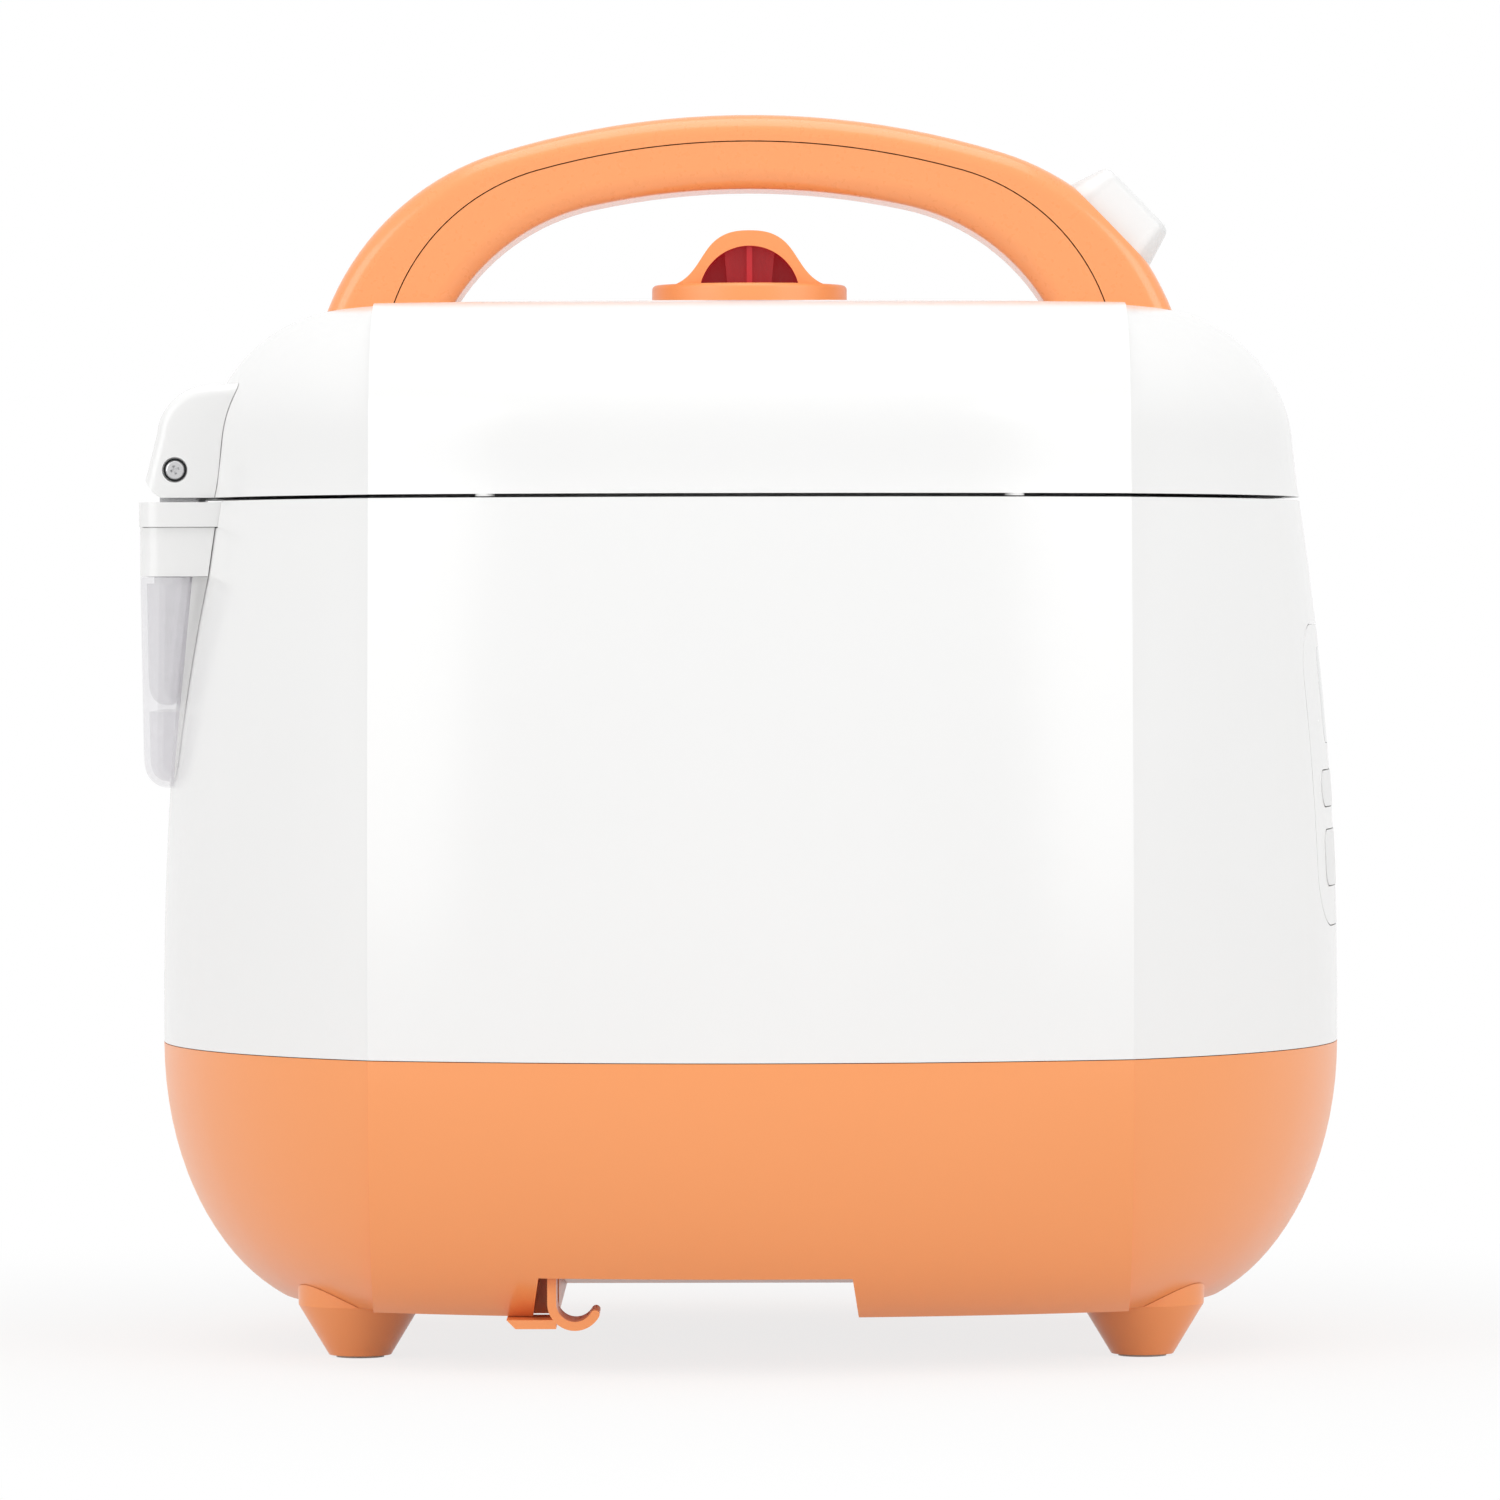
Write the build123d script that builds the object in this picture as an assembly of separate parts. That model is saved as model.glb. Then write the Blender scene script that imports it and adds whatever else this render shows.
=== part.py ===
from build123d import *
import math
import os

# Electric pressure cooker, millimetres. X runs from the rear (hinge) to the front (button),
# Z is up from the table, and the pot axis stands at X 0, Y 0 until the parts are exported.

# Fits
FIT = 0.3             # gap between pieces that nest or pass each other
SLIP = 0.06           # radial running clearance on a pin
TOUCH = 0.15          # gap between a piece and the face it rests on or is shaped to
COIL_STEPS = 24       # points on each turn of a spring where its gap to itself is measured

# Casing outline: two round ends and two bowed side panels that meet in upright creases
CASE_HALF_X = 150.0
POT_RADIUS = CASE_HALF_X - 50.0
POT_DEPTH = 147.8
CREASE_Y = POT_RADIUS + 12.3
PANEL_HALF = CREASE_Y - 18.8
PANEL_BOW = 17.4
CREASE_STEP = 0.3     # how far a side panel stands proud of the round end at the crease
BASE_Z = 13.2         # underside of the base
BASE_FLOOR = 2.6
SEAM_Z = BASE_Z + 63.8                  # top of the base
WIDEST_Z = SEAM_Z + 10.0
SEAM_GAP = 0.2
POT_BOTTOM_Z = BASE_Z + 46.0            # room for the boards and the heater under the pot
POT_SEAT_Z = POT_BOTTOM_Z + POT_DEPTH
RIM_FLOOR_Z = POT_SEAT_Z - 3.0
RIM_Z = RIM_FLOOR_Z + 10.5              # top of the wall
RIM_LEAN = 9.6        # how far the wall leans in between its widest height and its top
WALL = 3.0
BASE_REACH = 46.0     # rounding under the base
BASE_ROUND = SEAM_Z - BASE_Z + 4.5
LIP = 5.0             # lip of the base inside the wall
RIM_TOP_Z = RIM_Z - FIT
SHELF_Z = RIM_FLOOR_Z - WALL

# Lid outline
LID_Z = RIM_Z + 0.9
LID_TOP_Z = LID_Z + 48.1
LID_TAPER = 0.14
LID_ROUND_Z = LID_Z + 9.6
LID_REACH = 37.5
LID_WALL = 2.5
BUMPER_X = PANEL_HALF - 28.9
BUMPER_RADIUS = 2.4

# Feet, cord pocket and hook
FOOT_X = CASE_HALF_X - 52.0
FOOT_Y = CREASE_Y - 60.3
FOOT_LOW_RADIUS = 7.8
FOOT_TOP_RADIUS = 15.4
FOOT_LIFT = 0.6
PAD_RADIUS = 6.0
PAD_HEIGHT = 1.8
NOTCH_LEFT = -54.5
NOTCH_RIGHT = 27.2
NOTCH_SLANT = 2.4
NOTCH_TOP_Z = BASE_Z + 10.3
POCKET_Y = CREASE_Y - 50.3
POCKET_MOUTH_Y = POCKET_Y + 30.0
CHANNEL_END_Y = 17.0  # far end of the sloping channel
POCKET_LEFT = -38.0
POCKET_RIGHT = 14.0
POCKET_TOP_Z = NOTCH_TOP_Z + 10.1
GLAND_X = (POCKET_LEFT + POCKET_RIGHT) / 2
GLAND_Z = POCKET_TOP_Z - 5.8
CORD_RADIUS = 3.0
HOOK_BEND_X = NOTCH_LEFT + 11.3
HOOK_BEND_RADIUS = 4.6
HOOK_THICK = 2.2
HOOK_NEAR_Y = POCKET_MOUTH_Y + 12.0
HOOK_WIDTH = 18.0
HOOK_TIP = 30.0       # how far below level the hook's tip stops, degrees
HOOK_PLATE_X = NOTCH_LEFT - 5.5

# Pot, heater and inner container
POT_WALL = 1.6
POT_CORNER = 20.0
POT_FLANGE_RADIUS = POT_RADIUS + 10.0
POT_FLANGE = 1.8
RIM_SKIN = 2.6
CAN_RADIUS = POT_RADIUS + 4.5
CAN_SHEET = 1.0
CAN_FLOOR_Z = POT_BOTTOM_Z - 20.2
CAN_FLANGE_RADIUS = CAN_RADIUS + 7.5
HEATER_RADIUS = POT_RADIUS - POT_CORNER
HEATER_THICK = 10.0
HEATER_LEG_RING = HEATER_RADIUS - 14.0
HEATER_LEG_RADIUS = 4.0
ELEMENT_RING = HEATER_RADIUS - 34.0
ELEMENT_RADIUS = 5.0
SENSOR_RADIUS = 11.0
SENSOR_HEIGHT = 12.0
SENSOR_WALL = 1.4
SENSOR_WIRE = 0.6
SENSOR_COIL = 7.4
SENSOR_TURNS = 5
BAND_LOW_Z = POT_BOTTOM_Z + 63.8
BAND_HIGH_Z = BAND_LOW_Z + 30.0
BAND_THICK = 1.4
FUSE_X = POT_RADIUS - 24.0
FUSE_RADIUS = 3.0

# Boards and base posts
BOARD = 1.6
POWER_BOARD_Z = BASE_Z + 7.5
POWER_BOARD_Y = 64.0
POWER_BOARD_MID_Y = 14.0
TALLEST_PART = CAN_FLOOR_Z - POWER_BOARD_Z - BOARD - 1.4
POST_RADIUS = 6.0
POST_RING = POT_RADIUS - 30.0
POST_TURNS = (30.0, 150.0, 210.0, 330.0)
POWER_BOARD_X = 2 * (POST_RING * math.cos(math.radians(POST_TURNS[0])) - POST_RADIUS - 6.6)
BASE_SCREW_HEAD = 3.8
BASE_SCREW_SHANK = 1.9

# Control panel on the front
CONTROL_Z = SEAM_Z + 68.0
CONTROL_WIDTH = 84.0
CONTROL_HEIGHT = 76.0
CONTROL_CORNER = 14.0
CONTROL_PROUD = 0.0   # the panel lies flush with the wall
CONTROL_FLANGE = 2.0
DISPLAY_WIDTH = 46.0
DISPLAY_HEIGHT = 24.0
DISPLAY_Z = CONTROL_Z + 20.0
DISPLAY_CORNER = 4.0
DISPLAY_THICK = 2.4
KEY_PROUD = 0.2
KEY_DEPTH = 4.2
KEY_CORNER = 4.0
KEY_WIDTH = 28.0
KEY_Y = KEY_WIDTH / 2 + 5.0
KEY_LOW_Z = CONTROL_Z - 21.0
KEY_HIGH_Z = CONTROL_Z - 3.5
KEYS = {
    "start_key": (KEY_Y, KEY_LOW_Z, KEY_WIDTH, 14.0),
    "cancel_key": (-KEY_Y, KEY_LOW_Z, KEY_WIDTH, 14.0),
    "menu_key": (KEY_Y, KEY_HIGH_Z, KEY_WIDTH, 9.0),
    "timer_key": (-KEY_Y, KEY_HIGH_Z, KEY_WIDTH, 9.0),
}
CONTROL_BOARD_X = CASE_HALF_X - 20.0
CONTROL_BOARD_WIDTH = CONTROL_WIDTH - 8.0
CONTROL_BOARD_HEIGHT = CONTROL_HEIGHT - 6.0
SWITCH_REACH = 9.2

# Hinge at the rear
LEDGE_X = -CASE_HALF_X - 3.8
HINGE_X = LEDGE_X + 9.0
HINGE_Z = LID_Z + 7.0
HINGE_PIN_RADIUS = 2.5
COVER_HALF_Y = 38.0
LUG_RADIUS = 4.6
LUG_MID_Y = COVER_HALF_Y - 18.0
LUG_WIDTH = 10.0
BRACKET_PLATE = 1.8
BRACKET_HALF_X = 5.0
BRACKET_HALF_Y = 10.0
LEDGE_LOW_Z = RIM_TOP_Z - 6.2
LEDGE_HALF_Y = COVER_HALF_Y + 6.0
LEDGE_CORNER = 6.0
DRAIN_HALF_Y = 8.0    # drain from under the hinge to the drip cup
DRAIN_REAR = 5.5
DRAIN_FRONT = 3.0
COVER_WALL = 2.2
COVER_ROUND = 3.0
COVER_SWEEP = 7.9     # the lower rear corner swings inside this radius of the pin
COVER_REAR = 7.5      # rear face behind the pin
COVER_FRONT = 28.0    # front edge, inside the lid, ahead of the pin
COVER_TOP = 23.0      # front edge of the top above the pin
COVER_CREST = (6.0, 21.2)               # points of the shoulder from the pin
COVER_SHOULDER = (-1.4, 16.8)
COVER_BACK = (-4.6, 9.2)
COVER_BOSS = 7.6
HINGE_SCREW_HEAD = 2.9
HINGE_SCREW_SHANK = 1.5
HINGE_SCREW_SINK = 1.9
HINGE_COIL = 3.35
HINGE_WIRE = 0.4
HINGE_TURNS = 8
HINGE_SPRING_Y = 2.0  # inner end of each hinge spring

# Drip cup at the rear
CUP_X = LEDGE_X + 0.2
CUP_DEPTH = 30.0
CUP_TOP_Z = LEDGE_LOW_Z - 12.6
CUP_LOW_Z = CUP_TOP_Z - 53.4
CUP_FLOOR_Z = CUP_LOW_Z + 21.0
CUP_HALF_Y = LEDGE_HALF_Y - 1.0
CUP_LOW_HALF_Y = CUP_HALF_Y - 14.0
CUP_WALL = 1.6
CUP_CORNER = 11.0
CUP_ROUND = 6.0
CUP_NECK = 8.0        # height of the cup held in its collar
COLLAR_WALL = 1.6
TAB_Y = 25.0
TAB_WIDTH = 10.0
TAB_LOW_Z = CUP_TOP_Z + 1.6
TAB_HIGH_Z = TAB_LOW_Z + 3.2
TAB_TIP_X = 13.4 - CASE_HALF_X

# Handle over the lid: height of the top, half angle and half span of its arc, shoulder radius
HANDLE_TOP_Z = LID_TOP_Z + 49.3
HANDLE_OUTER = (HANDLE_TOP_Z, 17.0, CASE_HALF_X - 86.0, 68.0)
HANDLE_SEAM = (HANDLE_TOP_Z - 6.9, 15.6, CASE_HALF_X - 96.0, 54.0)
HANDLE_INNER = (HANDLE_TOP_Z - 18.9, 12.2, CASE_HALF_X - 110.0, 55.0)
HANDLE_HALF_Y = 18.0
HANDLE_FOOT_Z = LID_TOP_Z - 14.5
HANDLE_WALL = 3.0
HANDLE_OUTER_ROUND = 5.4
HANDLE_INNER_ROUND = 5.0
HANDLE_SCREW_X = CASE_HALF_X - 66.0
HANDLE_SCREW_Y = HANDLE_HALF_Y - 6.0
HANDLE_BOSS = 4.2
HANDLE_SCREW_HEAD = 3.2
HANDLE_SCREW_SHANK = 1.6

# Release button and latch
BUTTON_TILT = 45.8    # press direction from the vertical, degrees
BUTTON_SEAT = 66.6    # seat distance from the centre of the handle's outer shoulder
BUTTON_HEIGHT = 10.2
BUTTON_LENGTH = 29.0
BUTTON_WIDTH = 25.0
BUTTON_DRAFT = 18.0
BUTTON_CORNER = 7.0
BUTTON_ROUND = 2.5
BUTTON_SINK = 7.0
BUTTON_STEM = 14.0    # stem end below the seat
BUTTON_TRAVEL = 3.0
LATCH_X = CASE_HALF_X - 42.0
LATCH_Z = LID_TOP_Z - 20.5
LATCH_PIN_RADIUS = 1.5
LATCH_BOSS = 4.4
LATCH_WIDTH = 6.0
LATCH_ARM = 4.0
LATCH_ARM_X = LATCH_X + 15.0
LATCH_ELBOW_Z = LATCH_Z - 18.0
LATCH_LOW_Z = RIM_TOP_Z - 7.6
LATCH_NOSE = 2.8
LATCH_EAR = 3.0
LATCH_COIL = 2.8
LATCH_WIRE = 0.45
LATCH_TURNS = 5
LATCH_SPRING_Z = LATCH_ELBOW_Z - 3.3
KEEPER_X = LATCH_ARM_X - 3.4
KEEPER_LENGTH = 24.0
KEEPER_DEPTH = 5.0
KEEPER_HEIGHT = 3.0

# Steam vent
VENT_RADIUS = 16.4
VENT_WALL = 2.2
VENT_SEAT_Z = LID_TOP_Z - 22.5
VENT_SEAT = 2.0
VENT_HOLE = 3.2
WEIGHT_RADIUS = 8.0
WEIGHT_HEIGHT = 10.0
CAP_FLANGE_RADIUS = VENT_RADIUS + 8.5
CAP_FLANGE_Z = LID_TOP_Z + 6.3
CAP_HALF_X = 19.6     # half width of the hood where it leaves the flange
CAP_TOP_Z = CAP_FLANGE_Z + 13.5
CAP_ARCH_HALF_X = 12.4
CAP_ARCH_TOP_Z = CAP_TOP_Z - 3.9
CAP_HALF_Y = 17.0
CAP_WEB = 1.4
CAP_CORE_TOP = 6.9    # half width of the block inside the arch, at its top and bottom
CAP_CORE_LOW = 5.5
CAP_CORE_SINK = 7.0   # its faces stand this far inside the arch's mouths
CAP_SLOT = 3.0        # steam slots beside the block
CAP_SPIGOT_RADIUS = VENT_RADIUS - 1.2
CAP_SPIGOT = 5.4
CAP_SEAL = 2.2
GROMMET_RADIUS = 11.8
GROMMET_BORE = GROMMET_RADIUS - 2.8

# Inner lid, gasket and liner
PLATE_RADIUS = POT_RADIUS + 3.0
PLATE_LOW_Z = POT_SEAT_Z + POT_FLANGE + 1.6
PLATE_THICK = 2.2
PLATE_GROOVE = POT_RADIUS - 34.0
GASKET_RADIUS = POT_FLANGE_RADIUS - 2.0
GASKET_LIP_RADIUS = POT_RADIUS - 3.0
LINER_LOW_Z = LID_Z + 0.2
LINER_TOP_Z = LINER_LOW_Z + 2.4
LINER_STEP_Z = PLATE_LOW_Z + PLATE_THICK + 0.2
LINER_STEP_RADIUS = PLATE_RADIUS + 1.0
LINER_BOSS_X = 0.7 * POT_RADIUS
LINER_BOSS_Y = 0.82 * POT_RADIUS
LINER_BOSS = 4.2
LINER_SCREW_HEAD = 3.1
LINER_SCREW_SHANK = 1.6

# The exported frame's origin stands midway between the rearmost and the foremost points
ORIGIN_SHIFT = -(LEDGE_X + CASE_HALF_X) / 2
FAR = 4 * CASE_HALF_X

END_RADIUS = ((CASE_HALF_X - PANEL_HALF) ** 2 + CREASE_Y ** 2) / (2 * (CASE_HALF_X - PANEL_HALF))
END_CENTRE_X = CASE_HALF_X - END_RADIUS
SIDE_RADIUS = (PANEL_HALF ** 2 + PANEL_BOW ** 2) / (2 * PANEL_BOW)
SIDE_CENTRE_Y = SIDE_RADIUS - CREASE_Y - CREASE_STEP - PANEL_BOW


def heights(low, high, shares):
    return [low + share * (high - low) for share in shares]


BASE_LEVELS = heights(BASE_Z, SEAM_Z, (0, 0.04, 0.105, 0.203, 0.35, 0.545, 0.772, 1))
WALL_LEVELS = heights(SEAM_Z + SEAM_GAP, RIM_Z, (0, 0.2244, 0.4793, 0.756, 1))
HOLLOW_LEVELS = heights(SEAM_Z - 1, RIM_Z + 1, (0, 0.2294, 0.4803, 0.7527, 1))
LID_LEVELS = heights(LID_Z, LID_TOP_Z, (0, 0.1996, 0.4075, 0.6154, 0.7817, 0.8857, 0.948, 0.9896, 1))


# Simple solids
def box(x_low, x_high, y_low, y_high, z_low, z_high):
    middle = Pos((x_low + x_high) / 2, (y_low + y_high) / 2, (z_low + z_high) / 2)
    return middle * Box(x_high - x_low, y_high - y_low, z_high - z_low)


def rod(radius, z_low, z_high, x=0.0, y=0.0):
    return Pos(x, y, (z_low + z_high) / 2) * Cylinder(radius, z_high - z_low)


def ring(outer, inner, z_low, z_high):
    return rod(outer, z_low, z_high) - rod(inner, z_low - 1, z_high + 1)


def cross_rod(radius, x, z, y_low, y_high):
    return Pos(x, (y_low + y_high) / 2, z) * Rot(90, 0, 0) * Cylinder(radius, y_high - y_low)


def long_rod(radius, x_low, x_high, y, z):
    return Pos((x_low + x_high) / 2, y, z) * Rot(0, 90, 0) * Cylinder(radius, x_high - x_low)


def bar(x_from, z_from, x_to, z_to, thick, half_y):
    # A straight bar between two points of the plane of symmetry
    length = math.hypot(x_to - x_from, z_to - z_from)
    turn = math.degrees(math.atan2(z_from - z_to, x_to - x_from))
    middle = Pos((x_from + x_to) / 2, 0, (z_from + z_to) / 2)
    return middle * Rot(0, turn, 0) * Box(length, 2 * half_y, thick)


def profile(edges, half_y):
    # A face drawn on the plane of symmetry, half_y thick to each side
    return extrude(make_face(edges), amount=half_y, dir=(0, 1, 0), both=True)


def closed(points):
    return Polyline(*[(x, 0, z) for x, z in points], close=True)


def screw(head_radius, head_height, shank_radius, length):
    # Seat of the head at Z 0, cross recess on top
    body = rod(head_radius, 0, head_height) + rod(shank_radius, -length, 0)
    depth = 0.55 * head_height
    slot = Pos(0, 0, head_height) * Box(1.3 * head_radius, 0.34 * head_radius, 2 * depth)
    return body - slot - Rot(0, 0, 90) * slot


def coil(name, radius, wire, length, turns):
    path = Helix(pitch=length / turns, height=length, radius=radius)
    steps = COIL_STEPS * turns
    spots = [path @ (step / steps) for step in range(steps + 1)]
    half = COIL_STEPS // 2
    apart = min((spots[high] - spots[low]).length
                for high in range(half, steps + 1) for low in range(high - half + 1))
    print(f"{name}: least gap to itself {apart - 2 * wire:.2f} mm")
    return sweep(Plane(origin=path @ 0, z_dir=path % 0) * Circle(wire), path=path)


def four(x, y):
    return [(x, y), (-x, y), (-x, -y), (x, -y)]


# Casing
def lean(z):
    return RIM_LEAN * ((z - WIDEST_Z) / (RIM_Z - WIDEST_Z)) ** 2


def rounding(rise, reach, height):
    share = min(max(rise / height, 0.0), 1.0)
    return reach * (1 - math.sqrt(1 - share ** 2))


def base_inset(z):
    return lean(SEAM_Z) + rounding(SEAM_Z - z, BASE_REACH, BASE_ROUND)


def lid_inset(z):
    taper = LID_TAPER * (min(z, LID_ROUND_Z) - LID_Z)
    return RIM_LEAN + taper + rounding(z - LID_ROUND_Z, LID_REACH, LID_TOP_Z - LID_ROUND_Z)


def turned(centre_x, centre_y, radius, inset, levels, grow=0.0):
    # Solid of revolution whose edge stands in by inset(z) from the radius
    edge = [(centre_x - radius + inset(z) - grow, centre_y, z) for z in levels]
    low = (centre_x, centre_y, levels[0])
    high = (centre_x, centre_y, levels[-1])
    side = Spline(*edge) if len(edge) > 2 else Line(*edge)
    sketch = make_face([side, Line(edge[-1], high), Line(high, low), Line(low, edge[0])])
    return revolve(sketch, axis=Axis(low, (0, 0, 1)))


def end_solid(inset, levels, grow=0.0):
    return turned(END_CENTRE_X, 0, END_RADIUS, inset, levels, grow)


def casing(inset, levels, grow=0.0):
    front = end_solid(inset, levels, grow) & box(PANEL_HALF, FAR, -FAR, FAR, -FAR, FAR)
    near = turned(0, SIDE_CENTRE_Y, SIDE_RADIUS, inset, levels, grow)
    near &= box(-PANEL_HALF, PANEL_HALF, -FAR, 0, -FAR, FAR)
    return front + mirror(front, about=Plane.YZ) + near + mirror(near, about=Plane.XZ)


def sheet(inset, z_low, z_high):
    # A flat plate with the casing's plan, its edge standing in by inset
    return casing(lambda z: inset, (z_low, z_high))


def panel_y(inset, x):
    return math.sqrt((SIDE_RADIUS - inset) ** 2 - x ** 2) - SIDE_CENTRE_Y


# Base
def cord_pocket(grow):
    # Notch in the near skirt, a sloping channel behind it and a pocket for the cord in its ceiling
    low_z = BASE_Z - 5
    high_z = NOTCH_TOP_Z + grow
    right = (NOTCH_RIGHT + grow, low_z), (NOTCH_RIGHT - NOTCH_SLANT + grow, high_z)
    notch = closed((
        (NOTCH_LEFT - grow, low_z),
        *right,
        (NOTCH_LEFT + NOTCH_SLANT - grow, high_z),
    ))
    left_x = HOOK_BEND_X - HOOK_BEND_RADIUS + FIT
    way = closed((
        (left_x - grow, low_z),
        *right,
        (left_x - grow, high_z),
    ))
    slope = make_face(Polyline(
        (-FAR, -FAR, low_z),
        (-FAR, -FAR, high_z),
        (-FAR, -POCKET_MOUTH_Y, high_z),
        (-FAR, CHANNEL_END_Y + grow, BASE_Z + grow),
        (-FAR, CHANNEL_END_Y + grow, low_z),
        close=True,
    ))
    back_y = HOOK_NEAR_Y - HOOK_WIDTH - 2 - grow
    hollow = Pos(0, -FAR - back_y, 0) * profile(notch, FAR)
    hollow += profile(way, FAR) & extrude(slope, amount=2 * FAR, dir=(1, 0, 0))
    hollow += box(POCKET_LEFT - grow, POCKET_RIGHT + grow, -POCKET_MOUTH_Y - grow,
                  -POCKET_Y + grow, low_z, POCKET_TOP_Z + grow)
    return hollow


def base_posts():
    return [(POST_RING * math.cos(math.radians(turn)), POST_RING * math.sin(math.radians(turn)))
            for turn in POST_TURNS]


def board_posts():
    x = POWER_BOARD_X / 2 - 5
    y = POWER_BOARD_Y / 2 - 5
    return [(px, py + POWER_BOARD_MID_Y) for px, py in four(x, y)]


def base_pan():
    hollow = Pos(0, 0, BASE_FLOOR) * casing(base_inset, BASE_LEVELS, -WALL)
    pan = casing(base_inset, BASE_LEVELS) - (hollow - cord_pocket(BASE_FLOOR))
    lip = sheet(WALL - 1, SEAM_Z - LIP, SEAM_Z) + sheet(WALL + FIT, SEAM_Z, SEAM_Z + LIP)
    pan += lip - sheet(WALL + 2, SEAM_Z - LIP - 1, SEAM_Z + LIP + 1)
    for x, y in base_posts():
        pan += rod(POST_RADIUS, BASE_Z + 1, CAN_FLOOR_Z, x, y)
        pan -= rod(BASE_SCREW_SHANK + FIT, 0, CAN_FLOOR_Z + 1, x, y)
        pan -= rod(BASE_SCREW_HEAD + FIT, 0, BASE_Z + BASE_FLOOR, x, y)
    for x, y in board_posts():
        pan += rod(3, BASE_Z + 1, POWER_BOARD_Z, x, y)
    gland = cross_rod(CORD_RADIUS + 1 + FIT, GLAND_X, GLAND_Z, -POCKET_Y - 5, -POCKET_Y + 5)
    return pan - cord_pocket(0) - gland


def base_screws():
    seat_z = BASE_Z + BASE_FLOOR
    length = CAN_FLOOR_Z + CAN_SHEET - seat_z
    one = Rot(180, 0, 0) * screw(BASE_SCREW_HEAD, 2.2, BASE_SCREW_SHANK, length)
    return Compound([Pos(x, y, seat_z) * one for x, y in base_posts()])


def foot(x, y, base_outer):
    high = 2 * BASE_Z + 10
    low = FOOT_LOW_RADIUS
    top = FOOT_TOP_RADIUS
    edges = [
        Line((low, 0, FOOT_LIFT), (top, 0, BASE_Z)),
        Line((top, 0, BASE_Z), (top + 1, 0, high)),
        Line((top + 1, 0, high), (0, 0, high)),
        Line((0, 0, high), (0, 0, FOOT_LIFT)),
        Line((0, 0, FOOT_LIFT), (low, 0, FOOT_LIFT)),
    ]
    body = revolve(make_face(edges), axis=Axis.Z) - rod(PAD_RADIUS + FIT, 0, PAD_HEIGHT)
    return Pos(x, y, 0) * body - base_outer


def foot_pads():
    return Compound([rod(PAD_RADIUS, 0, PAD_HEIGHT, x, y) for x, y in four(FOOT_X, FOOT_Y)])


def cord_hook():
    # A stem under the notch's ceiling that bends into a hook, and a plate under the base
    half = HOOK_WIDTH / 2
    inner = HOOK_BEND_RADIUS
    outer = inner + HOOK_THICK
    bend_z = BASE_Z + HOOK_BEND_RADIUS - 0.6
    tip = math.radians(HOOK_TIP)
    low = -(math.pi + tip) / 2

    def spot(radius, turn):
        return (HOOK_BEND_X + radius * math.cos(turn), 0, bend_z + radius * math.sin(turn))

    top_z = NOTCH_TOP_Z - TOUCH
    stem = Polyline(spot(inner, math.pi), (HOOK_BEND_X - inner, 0, top_z),
                    (HOOK_BEND_X - outer, 0, top_z), spot(outer, math.pi))
    under = ThreePointArc(spot(outer, math.pi), spot(outer, low), spot(outer, -tip))
    middle = (inner + outer) / 2
    nose = -tip + HOOK_THICK / 2 / middle
    end = ThreePointArc(spot(outer, -tip), spot(middle, nose), spot(inner, -tip))
    over = ThreePointArc(spot(inner, -tip), spot(inner, low), spot(inner, math.pi))
    hook = profile([stem, under, end, over], half)
    plate_z = BASE_Z - TOUCH
    plate_x = HOOK_BEND_X - inner
    plate = profile(closed((
        (HOOK_PLATE_X, plate_z),
        (plate_x, plate_z),
        (plate_x, plate_z - HOOK_THICK),
        (HOOK_PLATE_X + HOOK_THICK, plate_z - HOOK_THICK),
    )), half)
    plate -= cross_rod(inner, HOOK_BEND_X, bend_z, -half - 1, half + 1)
    return Pos(0, half - HOOK_NEAR_Y, 0) * (hook + plate)


def cord_gland():
    barrel = CORD_RADIUS + 1
    outer_y = -POCKET_Y - TOUCH
    gland = cross_rod(barrel, GLAND_X, GLAND_Z, outer_y, -POCKET_Y + BASE_FLOOR + 4)
    gland += cross_rod(barrel + 1.4, GLAND_X, GLAND_Z, outer_y - 2, outer_y)
    return gland - cross_rod(CORD_RADIUS, GLAND_X, GLAND_Z, -POCKET_Y - 9, -POCKET_Y + 19)


# Wall, rim and inner container
def body_shell():
    shell = casing(lean, WALL_LEVELS) - casing(lean, HOLLOW_LEVELS, -WALL)
    shelf = sheet(lean(SHELF_Z) + WALL - 1, SHELF_Z, RIM_FLOOR_Z)
    shell += shelf - sheet(RIM_LEAN + WALL + 4, SHELF_Z - 1, RIM_FLOOR_Z + 1)
    half = LEDGE_HALF_Y + FIT
    shell -= box(-FAR, 0, -half, half, LEDGE_LOW_Z - FIT, FAR)
    shell -= front_window(0, CONTROL_Z, CONTROL_WIDTH, CONTROL_HEIGHT, CONTROL_CORNER, FIT)
    for side in (-1, 1):
        y = side * TAB_Y
        half = TAB_WIDTH / 2 + FIT
        shell -= box(-FAR, 0, y - half, y + half, TAB_LOW_Z - FIT, TAB_HIGH_Z + FIT)
    return shell


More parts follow.
